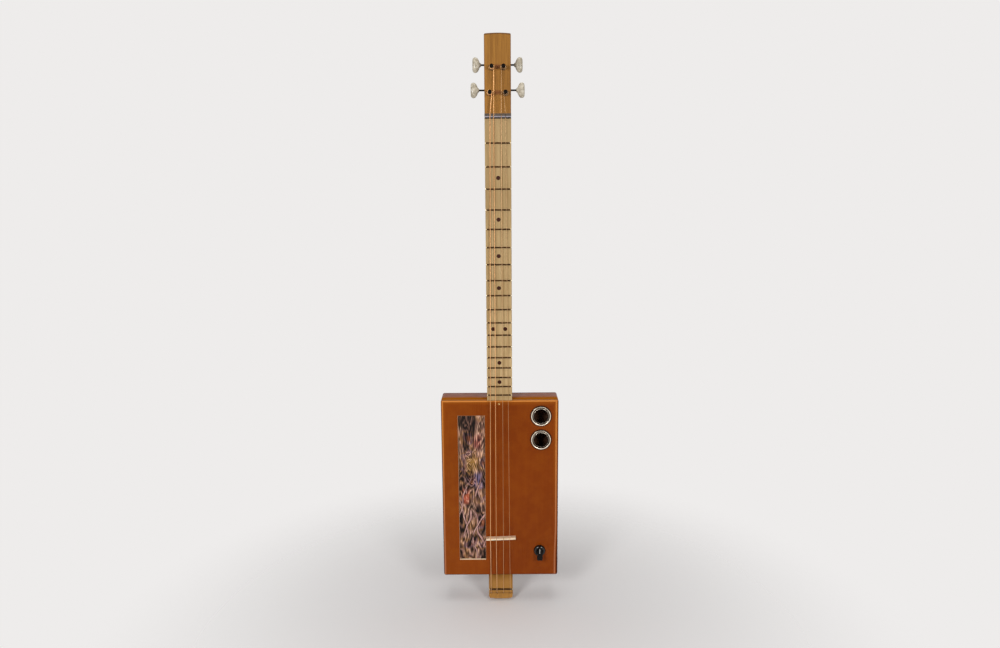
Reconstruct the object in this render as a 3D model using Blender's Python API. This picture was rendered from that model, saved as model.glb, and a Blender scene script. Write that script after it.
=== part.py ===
"""Four-string cigar box banjo with a neck that runs through the box, in metres.

+X is to the right seen from the front, +Y goes from the front to the back, and +Z runs up the neck. The
origin is the middle of the back panel's outer face. Sizes are given in millimetres times mm.
"""

import math

import bmesh
import bpy
from mathutils import Vector

mm = 0.001

# Clearances
GAP = 0.3 * mm  # between two pieces that touch
FRET_GAP = 0.15 * mm  # between a fret and its slot
RUNNING_GAP = 0.3 * mm  # round a shaft that turns
CUT_MARGIN = 2.0 * mm  # how far a cutter runs past the face that it cuts

CORNER_STEPS = 3  # flats on a rounded corner of a board or plate
NECK_CORNER_STEPS = 4  # flats on each half of the neck's round back

# Box
BOX_WIDTH = 184.6 * mm
BOX_HEIGHT = 294.0 * mm
BOX_DEPTH = 47.0 * mm
BOX_CORNER_R = 3.0 * mm
LID_THICKNESS = 4.0 * mm
LID_EDGE_R = 2.8 * mm
BACK_THICKNESS = 4.0 * mm
BACK_EDGE_R = 1.5 * mm
WALL_THICKNESS = 5.5 * mm
WINDOW_FROM_SIDE = 26.5 * mm
WINDOW_TOP_MARGIN = 25.0 * mm
WINDOW_BOTTOM_MARGIN = 27.3 * mm
WINDOW_BESIDE_NECK = 4.3 * mm
WINDOW_CORNER_R = 1.2 * mm
PICTURE_THICKNESS = 2.0 * mm
PICTURE_OVERLAP = 5.0 * mm

# Sound-hole grommets
SOUND_HOLE_R = 11.5 * mm
GROMMET_WALL = 1.2 * mm
GROMMET_FLANGE_R = 16.1 * mm
GROMMET_RISE = 2.0 * mm
GROMMET_RIM = 0.4 * mm
GROMMET_CLEARANCE = 0.4 * mm
GROMMET_REACH_INSIDE = 1.2 * mm
SOUND_HOLE_FROM_SIDE = 27.6 * mm
SOUND_HOLE_FROM_TOP = 26.1 * mm
SOUND_HOLE_SPACING = 38.6 * mm

# Neck and fretboard
SCALE_LENGTH = 647.7 * mm
LAST_FRET_ABOVE_BOX = 5.0 * mm  # at least this far
NECK_WIDTH = 39.0 * mm
NECK_THICKNESS = 20.0 * mm
NECK_EDGE_R = 2.5 * mm
NECK_BACK_DEPTH = 13.0 * mm
NECK_BACK_FLAT = 1.0 * mm
HEEL_LENGTH = 8.0 * mm
HEEL_BLEND = 38.0 * mm
HEADSTOCK_LENGTH = 119.4 * mm
HEADSTOCK_THICKNESS = 15.0 * mm
HEAD_BLEND_BELOW_NUT = 34.0 * mm
HEAD_BLEND_ABOVE_NUT = 8.0 * mm
TAIL_LENGTH = 44.0 * mm
HEAD_ARCH = 1.0 * mm
HEAD_CORNER_R = 1.2 * mm
TAIL_ARCH = 1.4 * mm
TAIL_CORNER_R = 3.0 * mm
LID_RELIEF_DEPTH = 3.0 * mm
LID_RELIEF_LAND = 18.0 * mm
FRETBOARD_THICKNESS = 6.0 * mm
FRET_WIDTH = 2.4 * mm
FRET_HEIGHT = 1.0 * mm
FRET_TANG_WIDTH = 0.5 * mm
FRET_TANG_DEPTH = 1.6 * mm
FRET_END_INSET = 0.2 * mm

# Nut, bridge and tail wire
NUT_THICKNESS = 5.5 * mm
NUT_ABOVE_STRINGS = 0.5 * mm
BRIDGE_ABOVE_STRINGS = 0.4 * mm
TOP_CORNER = 0.6 * mm
NOTCH_FLARE = 1.3
STRINGS_ABOVE_FIRST_FRET = 0.6 * mm
STRINGS_ABOVE_FRETS_AT_BRIDGE = 4.6 * mm
BRIDGE_ABOVE_BOTTOM = 65.6 * mm
BRIDGE_COMPENSATION = 8.3 * mm
BRIDGE_LENGTH = 47.4 * mm
BRIDGE_THICKNESS = 3.6 * mm
BRIDGE_TOP_THICKNESS = 2.6 * mm
BRIDGE_SLANT = math.radians(1.8)
BRIDGE_SHIFT = 0.7 * mm
STRINGS_ABOVE_BOX_EDGE = 0.8 * mm
TAIL_WIRE_BELOW_BOX = 27.2 * mm
TAIL_WIRE_WIDTH = 3.0 * mm
TAIL_WIRE_TANG_DEPTH = 1.8 * mm
TAIL_HOLES_BELOW_WIRE = 6.8 * mm
TAIL_HOLE_R = 1.1 * mm

# Strings, 1 to 4 from the right: diameter, and the place across the neck at the nut, bridge and tail.
# At the nut and tail a place is counted from the neck's nearer side.
STRING_DIAMETERS = (0.42 * mm, 0.62 * mm, 0.82 * mm, 1.06 * mm)
STRING_SIDES = (1, 1, -1, -1)
NUT_INSETS = (8.4 * mm, 14.5 * mm, 13.5 * mm, 8.1 * mm)
BRIDGE_PLACES = (14.6 * mm, 4.6 * mm, -6.8 * mm, -16.0 * mm)
TAIL_INSETS = (4.1 * mm, 15.1 * mm, 13.2 * mm, 3.7 * mm)
BALL_R = 1.75 * mm
BALL_LENGTH = 3.0 * mm
BALL_STEP = 0.1 * mm
STRING_BEND = 0.7 * mm
TAIL_BEND_R = 1.2 * mm
WRAPS = 3
WRAP_POINTS = 24
WRAP_CLEARANCE = 0.46 * mm
FIRST_WRAP_FROM_BUSHING = 2.4 * mm

# Tuners: string 1 and 4 go to the lower posts, 2 and 3 to the upper ones.
LOWER_POSTS_ABOVE_NUT = 35.3 * mm
UPPER_POSTS_ABOVE_NUT = 71.3 * mm
LOWER_POST_X = 11.6 * mm
UPPER_POST_X = 8.6 * mm
POST_R = 3.0 * mm
POST_WAIST_R = 2.6 * mm
POST_REACH = 15.0 * mm
POST_HOLE_R = 0.8 * mm
POST_HOLE_INSET = 0.1 * mm
POST_CAP_LENGTH = 2.6 * mm
POST_FOOT_LENGTH = 0.8 * mm
POST_BEVEL = 0.6 * mm
BUSHING_WALL = 0.8 * mm
BUSHING_DEPTH = 6.0 * mm
BUSHING_FLANGE_R = 4.6 * mm
BUSHING_FLANGE_THICKNESS = 1.0 * mm
BUSHING_BEVEL = 0.5 * mm
PLATE_THICKNESS = 1.0 * mm
PLATE_ABOVE_POST = 15.3 * mm
PLATE_BELOW_POST = 11.0 * mm
PLATE_BESIDE_EARS = 0.4 * mm
PLATE_CORNER_R = 3.0 * mm
PLATE_SCREW_INSET = 3.0 * mm
PLATE_SCREW_R = 1.3 * mm
EAR_THICKNESS = 1.2 * mm
EAR_HALF_WIDTH = 3.0 * mm
GEAR_TEETH = 14
GEAR_MODULE = 0.58 * mm
GEAR_FACE = 3.4 * mm
GEAR_BOSS_R = 2.5 * mm
GEAR_BOSS_RISE = 1.4 * mm
ADDENDUM = 0.5 * mm
DEDENDUM = 0.65 * mm
TOOTH_TIP_THICKNESS = 0.38 * mm
TOOTH_ROOT_THICKNESS = 1.05 * mm
WORM_PITCH_R = 2.2 * mm
WORM_THREAD_THICKNESS = 0.74 * mm
WORM_TURNS = 4
WORM_STEPS = 12
WORM_RUNOUT = 0.2 * mm
PRESSURE_ANGLE = math.radians(20.0)
SHAFT_R = 1.3 * mm
SHAFT_HEAD_R = 1.9 * mm
SHAFT_HEAD_THICKNESS = 0.7 * mm
BUTTON_FROM_POST = 15.9 * mm
BUTTON_LENGTH = 12.7 * mm
BUTTON_HALF_HEIGHT = 11.2 * mm
BUTTON_HALF_THICKNESS = 3.4 * mm
BUTTON_COLLAR_R = 3.0 * mm
BUTTON_SOCKET_DEPTH = 6.0 * mm

# Volume control and knob
KNOB_FROM_SIDE = 29.4 * mm
KNOB_FROM_BOTTOM = 43.1 * mm
KNOB_R = 9.3 * mm
KNOB_SKIRT_HEIGHT = 4.8 * mm
KNOB_SKIRT_TAPER = 0.2 * mm
KNOB_SHOULDER_R = 3.0 * mm
KNOB_HEIGHT = 12.5 * mm
KNOB_NOSE = 9.5 * mm
KNOB_HEEL = 10.8 * mm
KNOB_HEEL_CORNER_R = 1.6 * mm
KNOB_HALF_WIDTH = 4.3 * mm
KNOB_NOSE_HALF_WIDTH = 1.5 * mm
KNOB_TOP_SLOPE = 0.2
KNOB_TOP_BEVEL = 0.9 * mm
KNOB_LEVER_FOOT = 1.4 * mm
KNOB_SHAFT_SINK = 1.5 * mm
POT_SHAFT_R = 3.0 * mm
POT_BUSHING_R = 3.95 * mm
POT_NUT_R = 5.8 * mm
POT_NUT_THICKNESS = 2.0 * mm
POT_BUSHING_REACH = 3.0 * mm
POT_CAN_R = 8.0 * mm
POT_CAN_DEPTH = 9.5 * mm
POT_CAN_FLOOR = 2.0 * mm

# Output jack, for a 6.35 mm plug, and the pickup
JACK_BESIDE_NECK = 20.0 * mm
JACK_BORE_R = 3.4 * mm
JACK_BUSHING_R = 4.75 * mm
JACK_NUT_R = 7.4 * mm
JACK_NUT_THICKNESS = 2.4 * mm
JACK_NUT_BEVEL = 0.8 * mm
JACK_BODY_R = 6.6 * mm
JACK_BODY_DEPTH = 6.0 * mm
JACK_SPRING_REACH = 24.0 * mm
JACK_SPRING_WIDTH = 4.4 * mm
JACK_SPRING_THICKNESS = 0.8 * mm
JACK_SPRING_LIFT = 0.4 * mm
JACK_SPRING_ROOT = 2.0 * mm
JACK_SPRING_HOOK_LENGTH = 4.0 * mm
JACK_SPRING_HOOK_DEPTH = 1.6 * mm
PIEZO_R = 13.5 * mm
PIEZO_THICKNESS = 0.35 * mm
PIEZO_CERAMIC_R = 10.0 * mm

# Places worked out from the sizes
LID_FRONT = -BOX_DEPTH
LID_BACK = LID_FRONT + LID_THICKNESS
BOX_TOP = BOX_HEIGHT / 2
BOX_BOTTOM = -BOX_HEIGHT / 2
NECK_FRONT = LID_BACK + GAP
NECK_BACK = NECK_FRONT + NECK_THICKNESS
NECK_HALF = NECK_WIDTH / 2
BRIDGE_Z = BOX_BOTTOM + BRIDGE_ABOVE_BOTTOM
NUT_Z = BRIDGE_Z + BRIDGE_COMPENSATION + SCALE_LENGTH
FRETTED_LENGTH = NUT_Z - BOX_TOP - LAST_FRET_ABOVE_BOX
FRET_COUNT = int(12 * math.log2(SCALE_LENGTH / (SCALE_LENGTH - FRETTED_LENGTH)))
HEAD_TOP = NUT_Z + HEADSTOCK_LENGTH
HEAD_BACK = NECK_FRONT + HEADSTOCK_THICKNESS
TAIL_END = BOX_BOTTOM - TAIL_LENGTH
FRETBOARD_BACK = NECK_FRONT - GAP
FRETBOARD_FRONT = FRETBOARD_BACK - FRETBOARD_THICKNESS
FRET_PLANE = FRETBOARD_FRONT - FRET_GAP - FRET_HEIGHT
TAIL_WIRE_Z = BOX_BOTTOM - TAIL_WIRE_BELOW_BOX
TAIL_HOLES_Z = TAIL_WIRE_Z - TAIL_HOLES_BELOW_WIRE
STRINGS_AT_NUT = FRET_PLANE - STRINGS_ABOVE_FIRST_FRET
STRINGS_AT_BRIDGE = FRET_PLANE - STRINGS_ABOVE_FRETS_AT_BRIDGE
STRINGS_AT_BOX_EDGE = LID_FRONT - STRINGS_ABOVE_BOX_EDGE
STRINGS_AT_TAIL = STRINGS_AT_BRIDGE + (STRINGS_AT_BOX_EDGE - STRINGS_AT_BRIDGE) * (
    BRIDGE_Z - TAIL_WIRE_Z
) / (BRIDGE_Z - BOX_BOTTOM)
WINDOW_RIGHT = -NECK_HALF - WINDOW_BESIDE_NECK
WINDOW_LEFT = -BOX_WIDTH / 2 + WINDOW_FROM_SIDE
WINDOW_TOP = BOX_TOP - WINDOW_TOP_MARGIN
WINDOW_BOTTOM = BOX_BOTTOM + WINDOW_BOTTOM_MARGIN
SOUND_HOLE_X = BOX_WIDTH / 2 - SOUND_HOLE_FROM_SIDE
SOUND_HOLE_UPPER_Z = BOX_TOP - SOUND_HOLE_FROM_TOP
SOUND_HOLE_LOWER_Z = SOUND_HOLE_UPPER_Z - SOUND_HOLE_SPACING
GROMMET_BARREL_R = SOUND_HOLE_R + GROMMET_WALL
KNOB_X = BOX_WIDTH / 2 - KNOB_FROM_SIDE
KNOB_Z = BOX_BOTTOM + KNOB_FROM_BOTTOM
JACK_X = NECK_HALF + JACK_BESIDE_NECK
JACK_Y = -BOX_DEPTH / 2
GEAR_PITCH_R = GEAR_MODULE * GEAR_TEETH / 2
WORM_LEAD = math.pi * GEAR_MODULE
WORM_OUTER_R = WORM_PITCH_R + ADDENDUM
WORM_ROOT_R = WORM_PITCH_R - DEDENDUM
WORM_ABOVE_POST = GEAR_PITCH_R + WORM_PITCH_R
PLATE_FRONT = HEAD_BACK + GAP
PLATE_BACK = PLATE_FRONT + PLATE_THICKNESS
WORM_Y = PLATE_BACK + WORM_OUTER_R + RUNNING_GAP
THREAD_TIP_HALF = WORM_THREAD_THICKNESS / 2 - ADDENDUM * math.tan(PRESSURE_ANGLE)
THREAD_ROOT_HALF = WORM_THREAD_THICKNESS / 2 + DEDENDUM * math.tan(PRESSURE_ANGLE)
WORM_HALF_LENGTH = WORM_TURNS * WORM_LEAD / 2
WORM_CORE_HALF = WORM_HALF_LENGTH + THREAD_ROOT_HALF + WORM_RUNOUT
EAR_INNER = WORM_CORE_HALF + RUNNING_GAP
EAR_OUTER = EAR_INNER + EAR_THICKNESS
PLATE_HALF_WIDTH = EAR_OUTER + PLATE_BESIDE_EARS
BUSHING_BORE_R = POST_R + RUNNING_GAP
BUSHING_BARREL_R = BUSHING_BORE_R + BUSHING_WALL

# Colours
STAINED_MAPLE = ("stained maple", (0.30, 0.14, 0.04), 0.30, 0.0)
PALE_MAPLE = ("pale maple", (0.52, 0.35, 0.16), 0.38, 0.0)
LACQUERED_CEDAR = ("lacquered cedar", (0.24, 0.055, 0.012), 0.16, 0.0)
PRINTED_BOARD = ("printed board", (0.30, 0.26, 0.25), 0.35, 0.0)
NICKEL = ("nickel", (0.62, 0.57, 0.48), 0.25, 1.0)
DARK_STEEL = ("dark steel", (0.06, 0.055, 0.05), 0.35, 1.0)
FRET_WIRE = ("fret wire", (0.16, 0.12, 0.085), 0.35, 1.0)
BRONZE_STRING = ("bronze string", (0.62, 0.36, 0.22), 0.35, 1.0)
PLAIN_STRING = ("plain string", (0.60, 0.57, 0.52), 0.25, 1.0)
BONE = ("bone", (0.82, 0.66, 0.48), 0.4, 0.0)
GREY_NUT = ("grey nut", (0.27, 0.23, 0.21), 0.4, 0.0)
PEARLOID = ("pearloid", (0.60, 0.56, 0.47), 0.25, 0.0)
BLACK_PLASTIC = ("black plastic", (0.012, 0.011, 0.011), 0.3, 0.0)
BRASS = ("brass", (0.70, 0.48, 0.20), 0.3, 1.0)


def material(finish):
    """The Principled material of a finish: its name, colour, roughness and metallic value."""
    name, colour, roughness, metallic = finish
    made = bpy.data.materials.get(name)
    if made is None:
        made = bpy.data.materials.new(name)
        made.use_nodes = True
        shader = made.node_tree.nodes["Principled BSDF"]
        shader.inputs["Base Color"].default_value = (*colour, 1.0)
        shader.inputs["Roughness"].default_value = roughness
        shader.inputs["Metallic"].default_value = metallic
    return made


def add(name, rings, finish=None, origin=(0, 0, 0), loop=False):
    """A closed skin over rings of as many points each, as an object. A ring of one point is a pole.

    The ends are filled, unless the rings make a loop. With no finish the object is a cutter or a piece of
    another object: it has no material and isn't rendered.
    """
    bm = bmesh.new()
    rows = [[bm.verts.new(Vector(p) - Vector(origin)) for p in ring] for ring in rings]
    pairs = list(zip(rows, rows[1:], strict=False))
    if loop:
        pairs.append((rows[-1], rows[0]))
    for low, high in pairs:
        count = max(len(low), len(high))
        for i in range(count):
            j = (i + 1) % count
            corners = [low[i % len(low)], low[j % len(low)], high[j % len(high)], high[i % len(high)]]
            bm.faces.new(list(dict.fromkeys(corners)))
    if not loop:
        for end in (rows[0], rows[-1]):
            if len(end) > 1:
                bm.faces.new(end)
    return link(name, bm, origin, finish)


def link(name, bm, origin, finish=None):
    """Puts a mesh that is being made into the scene as an object, with its faces outwards."""
    bmesh.ops.recalc_face_normals(bm, faces=bm.faces)
    mesh = bpy.data.meshes.new(name)
    bm.to_mesh(mesh)
    bm.free()
    made = bpy.data.objects.new(name, mesh)
    made.location = origin
    bpy.context.scene.collection.objects.link(made)
    if finish is None:
        made.hide_render = True
        made.display_type = "WIRE"
    else:
        mesh.materials.append(material(finish))
        mesh.shade_smooth()
        mesh.set_sharp_from_angle(angle=math.radians(35))
    return made


def combine(piece, tool, operation="DIFFERENCE"):
    """Cuts tool from piece, or joins it to piece."""
    boolean = piece.modifiers.new(operation.lower(), "BOOLEAN")
    boolean.operation = operation
    boolean.object = tool
    return piece


def extruded(outline, low, high, axis="y"):
    """Two rings: a flat outline at low and at high along an axis. The outline is in the other two."""
    place = {
        "x": lambda a, b, along: (along, a, b),
        "y": lambda a, b, along: (a, along, b),
        "z": lambda a, b, along: (a, b, along),
    }[axis]
    return [[place(a, b, along) for a, b in outline] for along in (low, high)]


def turned(profile, centre, steps, axis="y"):
    """Rings of a turned shape: its profile is pairs of radius and place along the axis through centre."""
    cx, cy, cz = centre
    place = {
        "x": lambda a, b, along: (along, cy + a, cz + b),
        "y": lambda a, b, along: (cx + a, along, cz + b),
        "z": lambda a, b, along: (cx + a, cy + b, along),
    }[axis]
    rings = []
    for radius, along in profile:
        turns = [2 * math.pi * k / steps for k in range(steps if radius > 0 else 1)]
        rings.append([place(radius * math.cos(t), radius * math.sin(t), along) for t in turns])
    return rings


def drill(name, radius, centre, low, high, steps=12, axis="y"):
    """A round cutter from low to high along an axis."""
    return add(name, turned([(radius, low), (radius, high)], centre, steps, axis))


def rounded_rectangle(left, right, bottom, top, radius, inset=0.0):
    """The outline of a rectangle with round corners, drawn in by inset."""
    outline = []
    corners = (
        (right - radius, top - radius, 0.0),
        (left + radius, top - radius, 0.5),
        (left + radius, bottom + radius, 1.0),
        (right - radius, bottom + radius, 1.5),
    )
    for x, z, start in corners:
        for step in range(CORNER_STEPS + 1):
            turn = math.pi * (start + 0.5 * step / CORNER_STEPS)
            reach = radius - inset
            outline.append((x + reach * math.cos(turn), z + reach * math.sin(turn)))
    return outline


def rounded_board(flat_y, edge_y, edge_radius):
    """Rings of a board the size of the box whose edge at edge_y is rounded."""
    sign = 1 if edge_y > flat_y else -1
    size = (-BOX_WIDTH / 2, BOX_WIDTH / 2, BOX_BOTTOM, BOX_TOP, BOX_CORNER_R)
    rings = [[(x, flat_y, z) for x, z in rounded_rectangle(*size)]]
    for step in range(CORNER_STEPS + 1):
        turn = 0.5 * math.pi * step / CORNER_STEPS
        y = edge_y - sign * edge_radius * (1 - math.sin(turn))
        inset = edge_radius * (1 - math.cos(turn))
        rings.append([(x, y, z) for x, z in rounded_rectangle(*size, inset)])
    return rings


def fret_z(number):
    """Height of a fret: each one shortens the string by the twelfth root of two."""
    return NUT_Z - SCALE_LENGTH * (1 - 2 ** (-number / 12))


def across_neck(insets):
    """Places across the neck of the four strings, from their distances to the neck's sides."""
    return [side * (NECK_HALF - inset) for side, inset in zip(STRING_SIDES, insets, strict=True)]


for old in list(bpy.data.objects):
    bpy.data.objects.remove(old)

# Posts by string: side of the headstock, distance across it, and height
POSTS = (
    (1, LOWER_POST_X, NUT_Z + LOWER_POSTS_ABOVE_NUT),
    (1, UPPER_POST_X, NUT_Z + UPPER_POSTS_ABOVE_NUT),
    (-1, UPPER_POST_X, NUT_Z + UPPER_POSTS_ABOVE_NUT),
    (-1, LOWER_POST_X, NUT_Z + LOWER_POSTS_ABOVE_NUT),
)


def box():
    """The cigar box: a lid with round edges, four mitred walls and a back panel."""
    lid = add("lid", rounded_board(LID_BACK, LID_FRONT, LID_EDGE_R), LACQUERED_CEDAR)
    window = rounded_rectangle(WINDOW_LEFT, WINDOW_RIGHT, WINDOW_BOTTOM, WINDOW_TOP, WINDOW_CORNER_R)
    outside, inside = LID_FRONT - CUT_MARGIN, LID_BACK + CUT_MARGIN
    combine(lid, add("cut_window", extruded(window, outside, inside)))
    for name, z in (("upper", SOUND_HOLE_UPPER_Z), ("lower", SOUND_HOLE_LOWER_Z)):
        hole_r = GROMMET_BARREL_R + GROMMET_CLEARANCE
        combine(lid, drill("cut_hole_" + name, hole_r, (SOUND_HOLE_X, 0, z), outside, inside, 24))
    combine(lid, drill("cut_pot", POT_BUSHING_R + GAP, (KNOB_X, 0, KNOB_Z), outside, inside, 16))
    add("back_panel", rounded_board(-BACK_THICKNESS, 0.0, BACK_EDGE_R), LACQUERED_CEDAR)
    notch_half = NECK_HALF + GAP
    notch = [
        (-notch_half, LID_FRONT),
        (notch_half, LID_FRONT),
        (notch_half, NECK_BACK + GAP),
        (-notch_half, NECK_BACK + GAP),
    ]
    notch_cutter = add("cut_notch", extruded(notch, BOX_BOTTOM - CUT_MARGIN, BOX_TOP + CUT_MARGIN, "z"))
    jack_r = JACK_BUSHING_R + GAP
    jack = drill("cut_jack", jack_r, (JACK_X, JACK_Y, 0), BOX_BOTTOM - CUT_MARGIN, 0, 16, "z")
    walls = (
        ("wall_right", (1, 0), BOX_HEIGHT, BOX_WIDTH, ()),
        ("wall_top", (0, 1), BOX_WIDTH, BOX_HEIGHT, (notch_cutter,)),
        ("wall_left", (-1, 0), BOX_HEIGHT, BOX_WIDTH, ()),
        ("wall_bottom", (0, -1), BOX_WIDTH, BOX_HEIGHT, (notch_cutter, jack)),
    )
    for name, outwards, length, distance, cutters in walls:
        outline = wall_outline(length, distance / 2, outwards)
        wall = add(name, extruded(outline, LID_BACK + GAP, -BACK_THICKNESS - GAP), LACQUERED_CEDAR)
        for cutter in cutters:
            combine(wall, cutter)


def wall_outline(length, distance, outwards):
    """Outline of one mitred wall, as at +X and then turned to the way that its outside faces."""
    round_part = []
    for share in (0, 0.5, 1):
        turn = (math.pi / 4 - GAP / BOX_CORNER_R / 2) * share
        out = distance - BOX_CORNER_R * (1 - math.cos(turn))
        round_part.append((out, length / 2 - BOX_CORNER_R * (1 - math.sin(turn))))
    inner = (distance - WALL_THICKNESS, length / 2 - WALL_THICKNESS - GAP / math.sqrt(2))
    half = [*round_part, inner]
    outline = half + [(out, -along) for out, along in reversed(half)]
    cos, sin = outwards
    return [(out * cos - along * sin, out * sin + along * cos) for out, along in outline]


def picture():
    """The printed board glued behind the window."""
    right = min(WINDOW_RIGHT + PICTURE_OVERLAP, -NECK_HALF - 2 * GAP)
    left = max(WINDOW_LEFT - PICTURE_OVERLAP, -BOX_WIDTH / 2 + WALL_THICKNESS + GAP)
    bottom, top = WINDOW_BOTTOM - PICTURE_OVERLAP, WINDOW_TOP + PICTURE_OVERLAP
    outline = [(left, bottom), (right, bottom), (right, top), (left, top)]
    front = LID_BACK + GAP
    add("picture_panel", extruded(outline, front, front + PICTURE_THICKNESS), PRINTED_BOARD)


def grommets():
    """Two turned eyelets with a domed flange in front of the lid and a barrel through it."""
    seat = LID_FRONT - GAP
    width = GROMMET_FLANGE_R - SOUND_HOLE_R
    dome_rise = GROMMET_RISE - GROMMET_RIM
    dome = []
    for k in range(5):
        turn = math.pi * k / 5
        radius = GROMMET_FLANGE_R - width * (1 - math.cos(turn)) / 2
        dome.append((radius, seat - GROMMET_RIM - dome_rise * math.sin(turn)))
    inner_end = LID_BACK + GROMMET_REACH_INSIDE
    profile = [
        (GROMMET_FLANGE_R, seat),
        *dome,
        (SOUND_HOLE_R, seat),
        (SOUND_HOLE_R, inner_end),
        (GROMMET_BARREL_R, inner_end),
        (GROMMET_BARREL_R, seat),
    ]
    for name, z in (("grommet_upper", SOUND_HOLE_UPPER_Z), ("grommet_lower", SOUND_HOLE_LOWER_Z)):
        add(name, turned(profile, (SOUND_HOLE_X, 0, z), 22), NICKEL, loop=True)


def neck_ring(z, back, corner_x, corner_y):
    """One cross-section of the neck: a flat front, straight sides and two round back corners."""
    turns = [0.5 * math.pi * k / NECK_CORNER_STEPS for k in range(NECK_CORNER_STEPS + 1)]
    half_corner = [
        (NECK_HALF - corner_x * (1 - math.cos(t)), back - corner_y * (1 - math.sin(t))) for t in turns
    ]
    right = [(NECK_HALF, NECK_FRONT), *half_corner]
    return [(x, y, z) for x, y in right] + [(-x, y, z) for x, y in reversed(right)]


def end_cutter(name, end, out, arch, corner_r):
    """Cuts the neck's end to a shallow arch with round corners. out is 1 at the top and -1 at the tail."""
    steps = 20
    reach = NECK_HALF + CUT_MARGIN
    past_end = end + out * 2 * CUT_MARGIN
    outline = [(reach, past_end), (-reach, past_end)]
    for k in range(steps + 1):
        x = reach * (2 * k / steps - 1)
        drop = arch * (x / NECK_HALF) ** 2
        past = max(0.0, abs(x) - (NECK_HALF - corner_r))
        drop += corner_r - math.sqrt(max(0.0, corner_r**2 - past**2))
        outline.append((x, end - out * drop))
    return add(name, extruded(outline, NECK_FRONT - CUT_MARGIN, NECK_BACK + CUT_MARGIN))


def neck():
    """The one-piece neck: tail stub, stick through the box, round-backed neck and thinner headstock."""
    square = (NECK_BACK, NECK_EDGE_R, NECK_EDGE_R)
    back = (NECK_BACK, NECK_HALF - NECK_BACK_FLAT / 2, NECK_BACK_DEPTH)
    head = (HEAD_BACK, NECK_EDGE_R, NECK_EDGE_R)
    heel_top = BOX_TOP + HEEL_LENGTH
    stations = [(TAIL_END - CUT_MARGIN, square)]
    stations += blended(heel_top, heel_top + HEEL_BLEND, square, back)
    stations += blended(NUT_Z - HEAD_BLEND_BELOW_NUT, NUT_Z + HEAD_BLEND_ABOVE_NUT, back, head)
    stations.append((HEAD_TOP + CUT_MARGIN, head))
    made = add("neck", [neck_ring(z, *shape) for z, shape in stations], STAINED_MAPLE)
    combine(made, end_cutter("cut_head_end", HEAD_TOP, 1, HEAD_ARCH, HEAD_CORNER_R))
    combine(made, end_cutter("cut_tail_end", TAIL_END, -1, TAIL_ARCH, TAIL_CORNER_R))
    relief_top = BOX_TOP - LID_RELIEF_LAND
    relief_bottom = BOX_BOTTOM + LID_RELIEF_LAND
    wide = NECK_HALF + CUT_MARGIN
    in_front, behind = NECK_FRONT - CUT_MARGIN, NECK_BACK + CUT_MARGIN
    relief = [(-wide, relief_bottom), (wide, relief_bottom), (wide, relief_top), (-wide, relief_top)]
    relief_rings = extruded(relief, in_front, NECK_FRONT + LID_RELIEF_DEPTH)
    combine(made, add("cut_relief", relief_rings))
    slot_half = FRET_TANG_WIDTH / 2 + FRET_GAP
    slot_floor = NECK_FRONT + TAIL_WIRE_TANG_DEPTH + GAP
    slot = [
        (in_front, TAIL_WIRE_Z - slot_half),
        (in_front, TAIL_WIRE_Z + slot_half),
        (slot_floor, TAIL_WIRE_Z + slot_half),
        (slot_floor, TAIL_WIRE_Z - slot_half),
    ]
    combine(made, add("cut_tail_slot", extruded(slot, -wide, wide, "x")))
    for number, x in enumerate(across_neck(TAIL_INSETS), 1):
        shoulder = NECK_BACK - BALL_LENGTH - 2 * GAP
        profile = [
            (TAIL_HOLE_R, in_front),
            (TAIL_HOLE_R, shoulder),
            (BALL_R + GAP, shoulder),
            (BALL_R + GAP, behind),
        ]
        combine(made, add(f"cut_string_{number}", turned(profile, (x, 0, TAIL_HOLES_Z), 10)))
    for number, (side, x, z) in enumerate(POSTS, 1):
        hole_r = BUSHING_BARREL_R + GAP
        combine(made, drill(f"cut_post_{number}", hole_r, (side * x, 0, z), in_front, behind, 16))


def blended(low, high, first, second, steps=4):
    """Stations from one cross-section to another, easing in and out."""
    stations = []
    for k in range(steps + 1):
        share = (1 - math.cos(math.pi * k / steps)) / 2
        shape = tuple(a + (b - a) * share for a, b in zip(first, second, strict=True))
        stations.append((low + (high - low) * k / steps, shape))
    return stations


def fretboard():
    """The fretboard with a sawn slot for each fret, and the frets pressed into them."""
    slot_half = FRET_TANG_WIDTH / 2 + FRET_GAP
    slot_floor = FRETBOARD_FRONT + FRET_TANG_DEPTH + GAP
    side_view = [(FRETBOARD_BACK, BOX_TOP + GAP), (FRETBOARD_FRONT, BOX_TOP + GAP)]
    for number in range(FRET_COUNT, 0, -1):
        z = fret_z(number)
        side_view += [
            (FRETBOARD_FRONT, z - slot_half),
            (slot_floor, z - slot_half),
            (slot_floor, z + slot_half),
            (FRETBOARD_FRONT, z + slot_half),
        ]
    side_view += [(FRETBOARD_FRONT, NUT_Z - GAP), (FRETBOARD_BACK, NUT_Z - GAP)]
    add("fretboard", extruded(side_view, -NECK_HALF, NECK_HALF, "x"), PALE_MAPLE)
    half = NECK_HALF - FRET_END_INSET
    for number in range(1, FRET_COUNT + 1):
        z = fret_z(number)
        outline = fret_outline(FRETBOARD_FRONT, z, FRET_WIDTH, FRET_HEIGHT, FRET_TANG_DEPTH)
        add(f"fret_{number:02d}", extruded(outline, -half, half, "x"), FRET_WIRE)


def fret_outline(surface, z, width, height, tang_depth):
    """Cross-section of fret wire: a round crown on the surface and a tang in the slot."""
    base = surface - FRET_GAP
    turns = [math.pi * k / 6 for k in range(7)]
    crown = [(base - height * math.sin(t), z - width / 2 * math.cos(t)) for t in turns]
    low, high = z - FRET_TANG_WIDTH / 2, z + FRET_TANG_WIDTH / 2
    floor = surface + tang_depth
    return [*crown, (base, high), (floor, high), (floor, low), (base, low)]


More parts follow.
